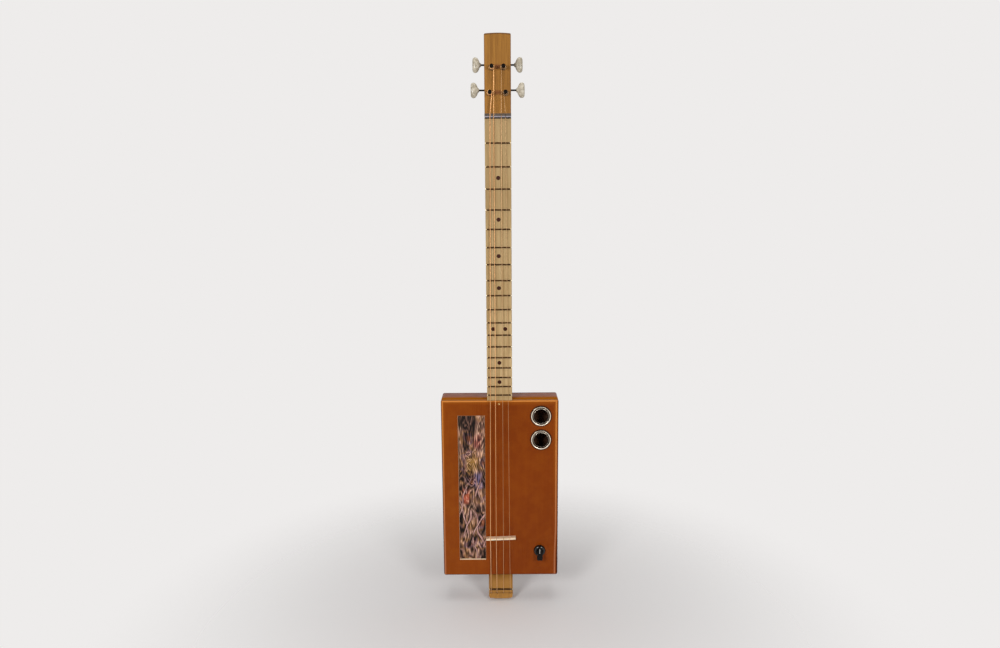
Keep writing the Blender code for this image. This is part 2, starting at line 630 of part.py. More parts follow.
def slotted_top(low_x, high_x, base, top, places):
    """Outline of a nut or bridge seen along the strings, with a notch under each string."""
    shoulder = top + TOP_CORNER
    outline = [(low_x, base), (low_x, shoulder), (low_x + TOP_CORNER, top)]
    for x, radius, underside in sorted(places):
        floor = underside + GAP
        half = radius + GAP
        flare = NOTCH_FLARE * half
        outline += [(x - flare, top), (x - half, floor), (x + half, floor), (x + flare, top)]
    return outline + [(high_x - TOP_CORNER, top), (high_x, shoulder), (high_x, base)]


def nut_and_bridge():
    """The nut across the end of the fretboard, and the slightly slanted bone bridge on the lid."""
    radii = [d / 2 for d in STRING_DIAMETERS]
    top = STRINGS_AT_NUT - max(STRING_DIAMETERS) - NUT_ABOVE_STRINGS
    places = [(x, r, STRINGS_AT_NUT) for x, r in zip(across_neck(NUT_INSETS), radii, strict=True)]
    outline = slotted_top(-NECK_HALF, NECK_HALF, FRETBOARD_BACK, top, places)
    add("nut", extruded(outline, NUT_Z, NUT_Z + NUT_THICKNESS, "z"), GREY_NUT)
    top = STRINGS_AT_BRIDGE - BRIDGE_ABOVE_STRINGS
    base = LID_FRONT - GAP
    places = [(x, r, STRINGS_AT_BRIDGE) for x, r in zip(BRIDGE_PLACES, radii, strict=True)]
    half = BRIDGE_LENGTH / 2
    outline = slotted_top(BRIDGE_SHIFT - half, BRIDGE_SHIFT + half, base, top, places)
    rings = []
    for side in (-1, 1):
        ring = []
        for x, y in outline:
            height = (base - y) / (base - top)
            thickness = BRIDGE_THICKNESS + (BRIDGE_TOP_THICKNESS - BRIDGE_THICKNESS) * height
            ring.append((x, y, BRIDGE_Z + x * math.tan(BRIDGE_SLANT) + side * thickness / 2))
        rings.append(ring)
    add("bridge", rings, BONE)


def tail_wire():
    """Heavy fret wire across the tail that holds the strings clear of the box's edge."""
    height = NECK_FRONT - FRET_GAP - (STRINGS_AT_TAIL + GAP)
    outline = fret_outline(NECK_FRONT, TAIL_WIRE_Z, TAIL_WIRE_WIDTH, height, TAIL_WIRE_TANG_DEPTH)
    half = NECK_HALF - FRET_END_INSET
    add("tail_wire", extruded(outline, -half, half, "x"), FRET_WIRE)


def string_route(number):
    """Points of one string with the radius at each, from its end on the post to its ball end."""
    side, post_x, post_z = POSTS[number]
    radius = STRING_DIAMETERS[number] / 2
    centre_x = side * post_x
    nut_x = across_neck(NUT_INSETS)[number]
    nut_top = NUT_Z + NUT_THICKNESS
    wrap_r = POST_WAIST_R + GAP + radius
    pitch = 2 * radius + WRAP_CLEARANCE
    lowest = NECK_FRONT - GAP - BUSHING_FLANGE_THICKNESS - FIRST_WRAP_FROM_BUSHING
    # The string leaves the post where a line from the nut touches the round of the lowest wrap.
    away = math.hypot(nut_x - centre_x, nut_top - post_z)
    towards_nut = math.atan2(nut_top - post_z, nut_x - centre_x)
    leaving = towards_nut - side * math.acos(wrap_r / away)
    steps = WRAPS * WRAP_POINTS
    wraps = []
    for k in range(steps + 1):
        turn = leaving - side * 2 * math.pi * k / WRAP_POINTS
        y = lowest - pitch * k / WRAP_POINTS
        x, z = centre_x + wrap_r * math.cos(turn), post_z + wrap_r * math.sin(turn)
        wraps.append(Vector((x, y, z)))
    last_way = (wraps[-1] - wraps[-2]).normalized()
    end = wraps[-1] + last_way * 2 * radius
    at_nut, at_bridge, at_tail = (y - radius for y in (STRINGS_AT_NUT, STRINGS_AT_BRIDGE, STRINGS_AT_TAIL))
    bridge_x = BRIDGE_PLACES[number]
    bridge_z = BRIDGE_Z + bridge_x * math.tan(BRIDGE_SLANT)
    tail_x = across_neck(TAIL_INSETS)[number]
    ball_front = NECK_BACK - BALL_LENGTH - GAP
    free = [
        Vector((nut_x, at_nut, nut_top - STRING_BEND)),
        Vector((nut_x, at_nut, NUT_Z)),
        Vector((bridge_x, at_bridge, bridge_z + STRING_BEND)),
        Vector((bridge_x, at_bridge, bridge_z - STRING_BEND)),
        Vector((tail_x, at_tail, TAIL_WIRE_Z + STRING_BEND)),
        Vector((tail_x, at_tail, TAIL_WIRE_Z - STRING_BEND)),
    ]
    # The string turns into its hole in the tail on a small round.
    for turn in (0.0, math.pi / 4, math.pi / 2):
        y = NECK_FRONT - TAIL_BEND_R * math.cos(turn)
        z = TAIL_HOLES_Z + TAIL_BEND_R * (1 - math.sin(turn))
        free.append(Vector((tail_x, y, z)))
    free.append(Vector((tail_x, ball_front - BALL_STEP, TAIL_HOLES_Z)))
    ball = [Vector((tail_x, y, TAIL_HOLES_Z)) for y in (ball_front, NECK_BACK - GAP)]
    points = [end, *reversed(wraps), *free, *ball]
    radii = [radius] * (len(points) - len(ball)) + [BALL_R] * len(ball)
    return points, radii, wraps


def least_gap(points, radius, step_apart):
    """The least clear space between stretches of a tube that lie a number of points apart."""
    nearest = min(
        (points[i] - points[j]).length
        for i in range(len(points))
        for j in range(i + step_apart, len(points))
    )
    return nearest - 2 * radius


def strings():
    """The strings, each one unbroken round wire, wound on its post and ending in its ball."""
    for number, diameter in enumerate(STRING_DIAMETERS):
        points, radii, wraps = string_route(number)
        name = f"string_{number + 1}"
        finish = PLAIN_STRING if number < 2 else BRONZE_STRING
        curve = bpy.data.curves.new(name, "CURVE")
        curve.dimensions = "3D"
        curve.bevel_depth = diameter / 2
        curve.bevel_resolution = 1
        curve.use_fill_caps = True
        spline = curve.splines.new("POLY")
        spline.points.add(len(points) - 1)
        for place, point, radius in zip(spline.points, points, radii, strict=True):
            place.co = (*point, 1.0)
            place.radius = radius / (diameter / 2)
        curve.materials.append(material(finish))
        bpy.context.scene.collection.objects.link(bpy.data.objects.new(name, curve))
        gap = least_gap(wraps, diameter / 2, WRAP_POINTS // 2)
        print(f"{name}: {WRAPS} wraps, least gap to itself {gap / mm:.2f} mm")


def tuner(number, side, post_x, post_z):
    """One open geared tuner: bushing, post with its gear, plate with two ears, worm shaft and button."""
    x = side * post_x
    name = f"tuner_{number}_"
    centre = (x, 0, post_z)
    worm_z = post_z + WORM_ABOVE_POST
    worm_centre = (x, WORM_Y, worm_z)
    bushing(name, centre)
    plate(name, x, post_z, worm_z)
    post(name, centre)
    worm(name, side, worm_centre)
    button(name, side, worm_centre)


def bushing(name, centre):
    """The flanged ring pressed into the front of the headstock round the post."""
    face = NECK_FRONT - GAP
    front = face - BUSHING_FLANGE_THICKNESS
    inner_end = NECK_FRONT + BUSHING_DEPTH
    profile = [
        (BUSHING_BORE_R, front),
        (BUSHING_FLANGE_R - BUSHING_BEVEL, front),
        (BUSHING_FLANGE_R, front + BUSHING_BEVEL),
        (BUSHING_FLANGE_R, face),
        (BUSHING_BARREL_R, face),
        (BUSHING_BARREL_R, inner_end),
        (BUSHING_BORE_R, inner_end),
    ]
    add(name + "bushing", turned(profile, centre, 16), NICKEL, loop=True)


def plate(name, x, post_z, worm_z):
    """The base plate on the back of the headstock, with an ear at each end of the worm."""
    left, right = x - PLATE_HALF_WIDTH, x + PLATE_HALF_WIDTH
    bottom, top = post_z - PLATE_BELOW_POST, post_z + PLATE_ABOVE_POST
    outline = rounded_rectangle(left, right, bottom, top, PLATE_CORNER_R)
    made = add(name + "plate", extruded(outline, PLATE_FRONT, PLATE_BACK), NICKEL)
    round_points = 6
    turns = [math.pi * k / round_points for k in range(round_points + 1)]
    reach = EAR_HALF_WIDTH
    root_y = PLATE_BACK - PLATE_THICKNESS / 2
    ear = [(root_y, worm_z + reach)]
    ear += [(WORM_Y + reach * math.sin(t), worm_z + reach * math.cos(t)) for t in turns]
    ear.append((root_y, worm_z - reach))
    for label, low in (("left", x - EAR_OUTER), ("right", x + EAR_INNER)):
        rings = extruded(ear, low, low + EAR_THICKNESS, "x")
        combine(made, add(f"{name}ear_{label}", rings), "UNION")
    far = EAR_OUTER + CUT_MARGIN
    bore_r = SHAFT_R + RUNNING_GAP
    combine(made, drill(name + "cut_ears", bore_r, (x, WORM_Y, worm_z), x - far, x + far, 12, "x"))
    in_front, behind = PLATE_FRONT - CUT_MARGIN, PLATE_BACK + CUT_MARGIN
    combine(made, drill(name + "cut_post", BUSHING_BORE_R, (x, 0, post_z), in_front, behind, 14))
    for label, z in (("low", bottom + PLATE_SCREW_INSET), ("high", top - PLATE_SCREW_INSET)):
        combine(made, drill(f"{name}cut_screw_{label}", PLATE_SCREW_R, (x, 0, z), in_front, behind, 8))


def post(name, centre):
    """The string post, waisted in front, with the gear that the worm drives on its back end."""
    tip = NECK_FRONT - POST_REACH
    waist_front = tip + POST_CAP_LENGTH
    waist_back = NECK_FRONT - GAP - BUSHING_FLANGE_THICKNESS - POST_FOOT_LENGTH
    gear_front, gear_back = WORM_Y - GEAR_FACE / 2, WORM_Y + GEAR_FACE / 2
    end = gear_back + GEAR_BOSS_RISE
    profile = [
        (0, tip),
        (POST_R - POST_BEVEL, tip),
        (POST_R, tip + POST_BEVEL),
        (POST_R, waist_front - POST_BEVEL),
        (POST_WAIST_R, waist_front),
        (POST_WAIST_R, waist_back - POST_BEVEL),
        (POST_R, waist_back),
        (POST_R, WORM_Y),
        (GEAR_BOSS_R, WORM_Y),
        (GEAR_BOSS_R, end - POST_BEVEL),
        (GEAR_BOSS_R - POST_BEVEL, end),
        (0, end),
    ]
    made = add(name + "post", turned(profile, centre, 14), DARK_STEEL, centre)
    combine(made, add(name + "gear", gear_rings(centre, gear_front, gear_back)), "UNION")
    hole_y = waist_front + POST_HOLE_R + POST_HOLE_INSET
    x, _, z = centre
    far = POST_R + CUT_MARGIN
    combine(made, drill(name + "cut_hole", POST_HOLE_R, (x, hole_y, z), x - far, x + far, 8, "x"))


def gear_rings(centre, front, back):
    """Rings of the gear along Y. Its teeth lean at the worm's lead angle, and a gap faces the worm."""
    cx, _, cz = centre
    tip_r, root_r = GEAR_PITCH_R + ADDENDUM, GEAR_PITCH_R - DEDENDUM
    lean = WORM_LEAD / (2 * math.pi * WORM_PITCH_R) / GEAR_PITCH_R
    tooth = (
        (root_r, -TOOTH_ROOT_THICKNESS / 2 / root_r),
        (tip_r, -TOOTH_TIP_THICKNESS / 2 / tip_r),
        (tip_r, TOOTH_TIP_THICKNESS / 2 / tip_r),
        (root_r, TOOTH_ROOT_THICKNESS / 2 / root_r),
    )
    rings = []
    for y in (front, back):
        ring = []
        for k in range(GEAR_TEETH):
            middle = 2 * math.pi * (k + 0.5) / GEAR_TEETH + lean * (y - (front + back) / 2)
            for radius, beside in tooth:
                turn = middle + beside
                ring.append((cx + radius * math.sin(turn), y, cz + radius * math.cos(turn)))
        rings.append(ring)
    return rings


def worm(name, side, centre):
    """The worm shaft: a right-hand thread, journals in the ears, and a long end for the button.

    The thread is one helical strip, four points to a pitch, counted by column along the shaft and by step
    round it from the bottom. It fades into the core, and each end of the strip is skinned to a ring.
    """
    shape = ((-THREAD_ROOT_HALF, 0), (-THREAD_TIP_HALF, 1), (THREAD_TIP_HALF, 1), (THREAD_ROOT_HALF, 0))
    across = len(shape)
    columns = WORM_TURNS * across
    fade = WORM_LEAD / 2

    def at(along, radius, step):
        """A point of the shaft at its height along, its radius and its step round."""
        turn = 2 * math.pi * step / WORM_STEPS - math.pi / 2
        return (along, radius * math.cos(turn), radius * math.sin(turn))

    def corner(column, step):
        """A point of the helical strip."""
        offset, height = shape[column % across]
        along = WORM_LEAD * (column // across - WORM_TURNS / 2 + step / WORM_STEPS) + offset
        rise = max(0.0, min(1.0, (WORM_HALF_LENGTH - abs(along)) / fade))
        return at(along, WORM_ROOT_R + (WORM_OUTER_R - WORM_ROOT_R) * height * rise, step)

    bm = bmesh.new()
    grid = {}
    for column in range(columns + across):
        grid[column, 0] = bm.verts.new(corner(column, 0))
    for column in range(columns):
        for step in range(1, WORM_STEPS):
            grid[column, step] = bm.verts.new(corner(column, step))
        grid[column, WORM_STEPS] = grid[column + across, 0]
    for column in range(columns - 1):
        for step in range(WORM_STEPS):
            square = ((column, step), (column + 1, step), (column + 1, step + 1), (column, step + 1))
            bm.faces.new([grid[key] for key in square])
    head = EAR_OUTER + RUNNING_GAP
    journal = [(SHAFT_R, WORM_CORE_HALF), (SHAFT_R, head)]
    inner = [*journal, (SHAFT_HEAD_R, head), (SHAFT_HEAD_R, head + SHAFT_HEAD_THICKNESS)]
    outer = [*journal, (SHAFT_R, BUTTON_FROM_POST + BUTTON_SOCKET_DEPTH - GAP)]
    for sign, column in ((-1, 0), (1, columns - 1)):
        edge = [grid[column, step] for step in range(WORM_STEPS + 1)]
        seam = [grid[k, 0] for k in range(column, column + across + 1)]
        rings = [
            [bm.verts.new(at(sign * along, radius, step)) for step in range(WORM_STEPS)]
            for radius, along in (outer if sign == side else inner)
        ]
        first = rings[0]
        for step in range(WORM_STEPS):
            after = (step + 1) % WORM_STEPS
            bm.faces.new((first[step], first[after], edge[step + 1], edge[step]))
        for here, there in zip(seam, seam[1:], strict=False):
            bm.faces.new((first[0], here, there))
        for near, far in zip(rings, rings[1:], strict=False):
            for step in range(WORM_STEPS):
                bm.faces.new((near[step - 1], near[step], far[step], far[step - 1]))
        bm.faces.new(rings[-1])
    link(name + "worm", bm, centre, DARK_STEEL)


def button(name, side, centre):
    """The flared pearloid button, with a socket for the end of the worm shaft."""
    socket_r = SHAFT_R + GAP
    height, thickness = BUTTON_HALF_HEIGHT, BUTTON_HALF_THICKNESS
    # Share of the length from the inner face, half height and half thickness
    stations = (
        (BUTTON_SOCKET_DEPTH / BUTTON_LENGTH, socket_r, socket_r),
        (0.0, socket_r, socket_r),
        (0.0, BUTTON_COLLAR_R - 0.3 * mm, BUTTON_COLLAR_R - 0.3 * mm),
        (0.13, BUTTON_COLLAR_R, BUTTON_COLLAR_R),
        (0.24, 0.60 * height, 0.92 * thickness),
        (0.38, 0.86 * height, 0.98 * thickness),
        (0.56, 0.99 * height, thickness),
        (0.74, height, 0.96 * thickness),
        (0.90, 0.91 * height, 0.78 * thickness),
        (0.985, 0.68 * height, 0.48 * thickness),
    )
    x, y, z = centre
    rings = [[(x + side * (BUTTON_FROM_POST + BUTTON_SOCKET_DEPTH), y, z)]]
    for share, half_z, half_y in stations:
        along = x + side * (BUTTON_FROM_POST + share * BUTTON_LENGTH)
        turns = [2 * math.pi * k / 16 for k in range(16)]
        rings.append([(along, y + half_y * math.cos(t), z + half_z * math.sin(t)) for t in turns])
    rings.append([(x + side * (BUTTON_FROM_POST + BUTTON_LENGTH), y, z)])
    add(name + "button", rings, PEARLOID, centre)


def volume_control():
    """The potentiometer clamped through the lid by its nut. Its bore takes the knob's shaft."""
    bore_r = POT_SHAFT_R + RUNNING_GAP
    bushing_front = LID_FRONT - GAP - POT_BUSHING_REACH
    nut_front = LID_FRONT - GAP - POT_NUT_THICKNESS
    can_front = LID_BACK + GAP
    can_back = can_front + POT_CAN_DEPTH
    profile = [
        (0, can_back - POT_CAN_FLOOR),
        (bore_r, can_back - POT_CAN_FLOOR),
        (bore_r, bushing_front),
        (POT_BUSHING_R, bushing_front),
        (POT_BUSHING_R, nut_front),
        (POT_NUT_R, nut_front),
        (POT_NUT_R, LID_FRONT - GAP),
        (POT_BUSHING_R, LID_FRONT - GAP),
        (POT_BUSHING_R, can_front),
        (POT_CAN_R, can_front),
        (POT_CAN_R, can_back),
        (0, can_back),
    ]
    add("volume_pot", turned(profile, (KNOB_X, 0, KNOB_Z), 16), NICKEL)


def knob():
    """The pointer knob with its shaft. A cavity under it clears the control's nut and bushing."""
    centre = (KNOB_X, 0, KNOB_Z)
    base = LID_FRONT - 2 * GAP
    skirt_top = base - KNOB_SKIRT_HEIGHT
    skirt = [(0, base), (KNOB_R, base)]
    for step in range(CORNER_STEPS + 1):
        turn = 0.5 * math.pi * step / CORNER_STEPS
        radius = KNOB_R - KNOB_SKIRT_TAPER - KNOB_SHOULDER_R * (1 - math.cos(turn))
        skirt.append((radius, skirt_top + KNOB_SHOULDER_R * (1 - math.sin(turn))))
    skirt.append((0, skirt_top))
    made = add("knob", turned(skirt, centre, 24), BLACK_PLASTIC, centre)
    combine(made, add("knob_lever", lever_rings(base - KNOB_LEVER_FOOT, base - KNOB_HEIGHT)), "UNION")
    roof = LID_FRONT - GAP - POT_BUSHING_REACH - GAP
    combine(made, drill("knob_cavity", POT_NUT_R + GAP, centre, roof, base + CUT_MARGIN, 16))
    shaft_end = LID_BACK + POT_CAN_DEPTH - POT_CAN_FLOOR
    shaft = drill("knob_shaft", POT_SHAFT_R, centre, roof - KNOB_SHAFT_SINK, shaft_end, 16)
    combine(made, shaft, "UNION")


def lever_rings(foot, top):
    """Rings of the knob's lever, which points towards +Z, with a square heel and a sloping top."""
    right = [(KNOB_NOSE_HALF_WIDTH, KNOB_NOSE), (KNOB_HALF_WIDTH, 0)]
    for step in range(CORNER_STEPS + 1):
        turn = 0.5 * math.pi * step / CORNER_STEPS
        wide = KNOB_HALF_WIDTH - KNOB_HEEL_CORNER_R * (1 - math.cos(turn))
        right.append((wide, KNOB_HEEL_CORNER_R * (1 - math.sin(turn)) - KNOB_HEEL))
    outline = right + [(-wide, along) for wide, along in reversed(right)]
    # Place, slope and inset of three rings: the foot, below the top's edge and the top
    levels = (
        (foot, 0.0, 0.0),
        (top + KNOB_TOP_BEVEL, KNOB_TOP_SLOPE, 0.0),
        (top, KNOB_TOP_SLOPE, KNOB_TOP_BEVEL),
    )
    rings = []
    for y, slope, inset in levels:
        across = 1 - inset / KNOB_HALF_WIDTH
        length = 1 - inset / KNOB_NOSE
        rings.append([(KNOB_X + across * a, y + slope * b, KNOB_Z + length * b) for a, b in outline])
    return rings


def output_jack():
    """The jack through the bottom wall: nut outside, bushing, body inside and a contact spring."""
    outside = BOX_BOTTOM
    inside = outside + WALL_THICKNESS
    nut_outer = outside - GAP - JACK_NUT_THICKNESS
    body_end = inside + GAP + JACK_BODY_DEPTH
    profile = [
        (JACK_BORE_R, nut_outer),
        (JACK_NUT_R - JACK_NUT_BEVEL, nut_outer),
        (JACK_NUT_R, nut_outer + JACK_NUT_BEVEL),
        (JACK_NUT_R, outside - GAP),
        (JACK_BUSHING_R, outside - GAP),
        (JACK_BUSHING_R, inside + GAP),
        (JACK_BODY_R, inside + GAP),
        (JACK_BODY_R, body_end),
        (JACK_BORE_R, body_end),
    ]
    centre = (JACK_X, JACK_Y, 0)
    made = add("output_jack", turned(profile, centre, 16, "z"), NICKEL, loop=True)
    near = JACK_X + JACK_BORE_R + JACK_SPRING_LIFT
    away = near + JACK_SPRING_THICKNESS
    root = body_end - JACK_SPRING_ROOT
    far = body_end + JACK_SPRING_REACH - JACK_BODY_DEPTH
    knee = far - JACK_SPRING_HOOK_LENGTH
    spring = [
        (near, root),
        (away, root),
        (away, knee),
        (away - JACK_SPRING_HOOK_DEPTH, far),
        (near - JACK_SPRING_HOOK_DEPTH, far),
        (near, knee),
    ]
    half = JACK_SPRING_WIDTH / 2
    rings = extruded(spring, JACK_Y - half, JACK_Y + half)
    combine(made, add("jack_spring", rings), "UNION")


def piezo():
    """The pickup: a brass disc with a ceramic centre, glued under the lid behind the bridge."""
    face = LID_BACK + GAP
    profile = [
        (0, face),
        (PIEZO_R, face),
        (PIEZO_R, face + PIEZO_THICKNESS),
        (PIEZO_CERAMIC_R, face + PIEZO_THICKNESS),
        (PIEZO_CERAMIC_R, face + 2 * PIEZO_THICKNESS),
        (0, face + 2 * PIEZO_THICKNESS),
    ]
    add("piezo_disc", turned(profile, (0, 0, BRIDGE_Z), 20), BRASS)


box()
picture()
grommets()
neck()
fretboard()
nut_and_bridge()
tail_wire()
strings()
for tuner_number, tuner_post in enumerate(POSTS, 1):
    tuner(tuner_number, *tuner_post)
volume_control()
knob()
output_jack()
piezo()
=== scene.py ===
"""The looks of a four-string cigar box banjo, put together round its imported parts, in metres."""

import math

import bmesh
import bpy
import numpy as np
from mathutils import Matrix, Vector
from mathutils.geometry import tessellate_polygon


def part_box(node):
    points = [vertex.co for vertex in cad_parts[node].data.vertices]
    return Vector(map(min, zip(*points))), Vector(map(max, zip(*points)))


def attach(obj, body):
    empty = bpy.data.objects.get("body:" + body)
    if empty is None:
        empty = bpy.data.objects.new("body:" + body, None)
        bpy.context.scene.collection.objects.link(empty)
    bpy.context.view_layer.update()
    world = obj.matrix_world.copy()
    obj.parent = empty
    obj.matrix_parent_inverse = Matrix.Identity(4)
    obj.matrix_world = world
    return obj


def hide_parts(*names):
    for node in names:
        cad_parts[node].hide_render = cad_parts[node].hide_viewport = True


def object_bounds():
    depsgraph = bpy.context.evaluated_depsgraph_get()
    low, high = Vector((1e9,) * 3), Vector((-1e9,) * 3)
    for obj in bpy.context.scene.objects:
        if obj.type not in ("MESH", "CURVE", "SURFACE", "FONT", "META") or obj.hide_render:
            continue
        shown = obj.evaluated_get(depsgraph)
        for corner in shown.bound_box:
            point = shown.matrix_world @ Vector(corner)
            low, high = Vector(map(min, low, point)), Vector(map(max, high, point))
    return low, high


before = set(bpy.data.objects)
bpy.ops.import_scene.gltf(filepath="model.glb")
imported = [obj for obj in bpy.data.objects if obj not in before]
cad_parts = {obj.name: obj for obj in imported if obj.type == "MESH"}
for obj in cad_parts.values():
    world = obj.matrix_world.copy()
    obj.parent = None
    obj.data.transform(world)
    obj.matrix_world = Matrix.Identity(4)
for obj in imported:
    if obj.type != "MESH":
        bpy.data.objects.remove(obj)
cad_bounds = [list(corner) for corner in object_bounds()]

mm = 0.001

# The camera stands straight in front, above the middle, and looks down. The lens and the place come from
# how the frets crowd together up the neck in the photograph.
CAMERA_PLACE = (0.0013, -1.1809, 0.4639)
CAMERA_PITCH = math.radians(9.81)
CAMERA_ROLL = math.radians(0.36)
camera_data = bpy.data.cameras.new("camera")
camera_data.lens = 27.0
camera_data.sensor_width = 36.0
camera = bpy.data.objects.new("camera", camera_data)
bpy.context.scene.collection.objects.link(camera)
camera.matrix_world = (
    Matrix.Translation(CAMERA_PLACE)
    @ Matrix.Rotation(math.pi / 2 - CAMERA_PITCH, 4, "X")
    @ Matrix.Rotation(-CAMERA_ROLL, 4, "Z")
)
bpy.context.scene.camera = camera
bpy.context.scene.view_settings.view_transform = "Standard"


class Out:
    """An output of a node. Arithmetic on it adds Math nodes to the same wiring."""

    def __init__(self, wiring, socket):
        self.wiring = wiring
        self.socket = socket

    def math(self, operation, *values):
        return self.wiring.node("ShaderNodeMath", {"operation": operation}, dict(enumerate(values)))

    def __add__(self, other):
        return self.math("ADD", self, other)

    __radd__ = __add__

    def __sub__(self, other):
        return self.math("SUBTRACT", self, other)

    def __rsub__(self, other):
        return self.math("SUBTRACT", other, self)

    def __mul__(self, other):
        return self.math("MULTIPLY", self, other)

    __rmul__ = __mul__

    def __truediv__(self, other):
        return self.math("DIVIDE", self, other)

    def __pow__(self, other):
        return self.math("POWER", self, other)

    def size(self):
        return self.math("ABSOLUTE", self)

    def wave(self):
        return self.math("SINE", self)

    def least(self, other):
        return self.math("MINIMUM", self, other)

    def most(self, other):
        return self.math("MAXIMUM", self, other)

    def rising(self, low, high):
        """0 below low, 1 above high, and a smooth rise between them."""
        sockets = {"Value": self, "From Min": low, "From Max": high}
        return self.wiring.node("ShaderNodeMapRange", {"interpolation_type": "SMOOTHSTEP"}, sockets)

    def near(self, middle, inner, outer):
        """1 within inner of the middle, 0 beyond outer."""
        return 1 - (self - middle).size().rising(inner, outer)


class Wiring:
    """The nodes of a material or of the world."""

    def __init__(self, tree):
        self.tree = tree

    def feed(self, socket, value):
        """Links an output to a socket, or sets the socket's own value."""
        if isinstance(value, Out):
            self.tree.links.new(value.socket, socket)
        else:
            socket.default_value = value

    def node(self, kind, settings=None, sockets=None, out=0):
        """Adds a node with its settings, then the values or links of its sockets, and returns an output."""
        made = self.tree.nodes.new(kind)
        for key, value in (settings or {}).items():
            if key == "stops":
                ends = made.color_ramp.elements
                ends[0].position, ends[0].color = value[0]
                ends[1].position, ends[1].color = value[-1]
                for place, colour in value[1:-1]:
                    ends.new(place).color = colour
            else:
                setattr(made, key, value)
        for key, value in (sockets or {}).items():
            self.feed(made.inputs[key], value)
        return Out(self, made.outputs[out])

    def parts(self, vector):
        """The three numbers of a vector."""
        first = self.node("ShaderNodeSeparateXYZ", sockets={"Vector": vector})
        outs = first.socket.node.outputs
        return [Out(self, outs[k]) for k in range(3)]


class Finish(Wiring):
    """A material being made, a Principled surface whose sockets are fed by numbers or by nodes."""

    def __init__(self, name, sockets):
        self.material = bpy.data.materials.new(name)
        self.material.use_nodes = True
        super().__init__(self.material.node_tree)
        self.shader = self.tree.nodes["Principled BSDF"]
        for key, value in sockets.items():
            self.feed(self.shader.inputs[key], value)

    def place(self):
        """Object coordinates, which are metres in the frame of the whole instrument."""
        return self.node("ShaderNodeTexCoord", out="Object")

    def stretched(self, scale):
        """Object coordinates scaled along each axis."""
        return self.node("ShaderNodeMapping", sockets={"Vector": self.place(), "Scale": scale})

    def noise(self, vector, scale, detail=2.0, roughness=0.5):
        """Soft noise from about 0.25 to 0.75, with features of 1 / scale."""
        sockets = {"Vector": vector, "Scale": scale, "Detail": detail, "Roughness": roughness}
        return self.node("ShaderNodeTexNoise", sockets=sockets)

    def mix(self, share, first, second):
        """A colour between two colours."""
        return self.node("ShaderNodeMix", {"data_type": "RGBA"}, {0: share, 6: first, 7: second}, 2)

    def bump(self, height, distance):
        """Feeds the normal with a height from 0 to 1, which stands for a distance in metres."""
        sockets = {"Height": height, "Distance": distance}
        self.feed(self.shader.inputs["Normal"], self.node("ShaderNodeBump", sockets=sockets))

    def colour(self, value):
        self.feed(self.shader.inputs["Base Color"], value)

    def roughness(self, value):
        self.feed(self.shader.inputs["Roughness"], value)


def rgb(red, green, blue):
    """A colour given as it shows on a screen, 0 to 255, as the linear colour that a shader takes."""
    shown = np.array((red, green, blue)) / 255
    linear = np.where(shown <= 0.04045, shown / 12.92, ((shown + 0.055) / 1.055) ** 2.4)
    return (*linear.tolist(), 1.0)


def weave(index, around=True):
    """Faces between the neighbouring rows and columns of a grid of point numbers."""
    left = index if around else index[:, :-1]
    right = np.roll(index, -1, axis=1) if around else index[:, 1:]
    return np.stack((left[:-1], right[:-1], right[1:], left[1:]), axis=-1).reshape(-1, 4)


def skin(grid, around=True, capped=True):
    """A shell, which is points and blocks of faces, over a grid.

    Rows run along the piece and columns go round it. With around the last column joins the first, and with
    capped a face closes each end.
    """
    index = np.arange(grid.shape[0] * grid.shape[1]).reshape(grid.shape[:2])
    caps = [index[:1, ::-1], index[-1:]] if capped else []
    return grid.reshape(-1, 3), [weave(index, around), *caps]


def joined(name, *shells):
    """One mesh of several shells, with points that lie together merged and every face outwards."""
    faces, count = [], 0
    for points, blocks in shells:
        for block in blocks:
            faces += (block + count).tolist()
        count += len(points)
    mesh = bpy.data.meshes.new(name)
    mesh.from_pydata(np.concatenate([points for points, _ in shells]).tolist(), [], faces)
    bm = bmesh.new()
    bm.from_mesh(mesh)
    bmesh.ops.remove_doubles(bm, verts=bm.verts, dist=0.001 * mm)
    bmesh.ops.recalc_face_normals(bm, faces=bm.faces)
    bm.to_mesh(mesh)
    bm.free()
    return mesh


def piece(mesh, finish, body="body", replaces=(), sharp=35.0, rounds=0):
    """Puts a mesh in the scene as a finished piece that rides on a body."""
    mesh.materials.clear()
    mesh.materials.append(finish.material)
    mesh.shade_smooth()
    mesh.set_sharp_from_angle(angle=math.radians(sharp))
    made = bpy.data.objects.new(mesh.name, mesh)
    bpy.context.scene.collection.objects.link(made)
    if rounds:
        rounder = made.modifiers.new("rounder", "SUBSURF")
        rounder.levels = rounder.render_levels = rounds
    else:
        even = made.modifiers.new("even", "WEIGHTED_NORMAL")
        even.keep_sharp = True
    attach(made, body)
    if replaces:
        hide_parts(*replaces)
    return made


# The floor is a round of pale paper that fades into the background, so that only the shadow marks it.
# It lies just below the tail, as the floor under the stand does, and ends before the camera's view begins.
FLOOR_Z = cad_bounds[0][2] - 4 * mm
FLOOR_R = 0.75
FLOOR_Y = -0.12
floor_rings = np.linspace(0.0005, 1.0, 12)[:, None] * FLOOR_R
floor_turns = np.linspace(0, 2 * math.pi, 64, endpoint=False)[None, :]
floor_grid = np.stack(
    (
        floor_rings * np.cos(floor_turns),
        floor_rings * np.sin(floor_turns) + FLOOR_Y,
        0 * floor_rings * floor_turns + FLOOR_Z,
    ),
    axis=-1,
)
floor_paper = Finish("floor paper", {"Roughness": 0.9, "Specular IOR Level": 0.1})
floor_x, floor_y, _ = floor_paper.parts(floor_paper.place())
floor_reach = (floor_x * floor_x + (floor_y - FLOOR_Y) * (floor_y - FLOOR_Y)) ** 0.5
floor_paper.colour(rgb(232, 229, 228))
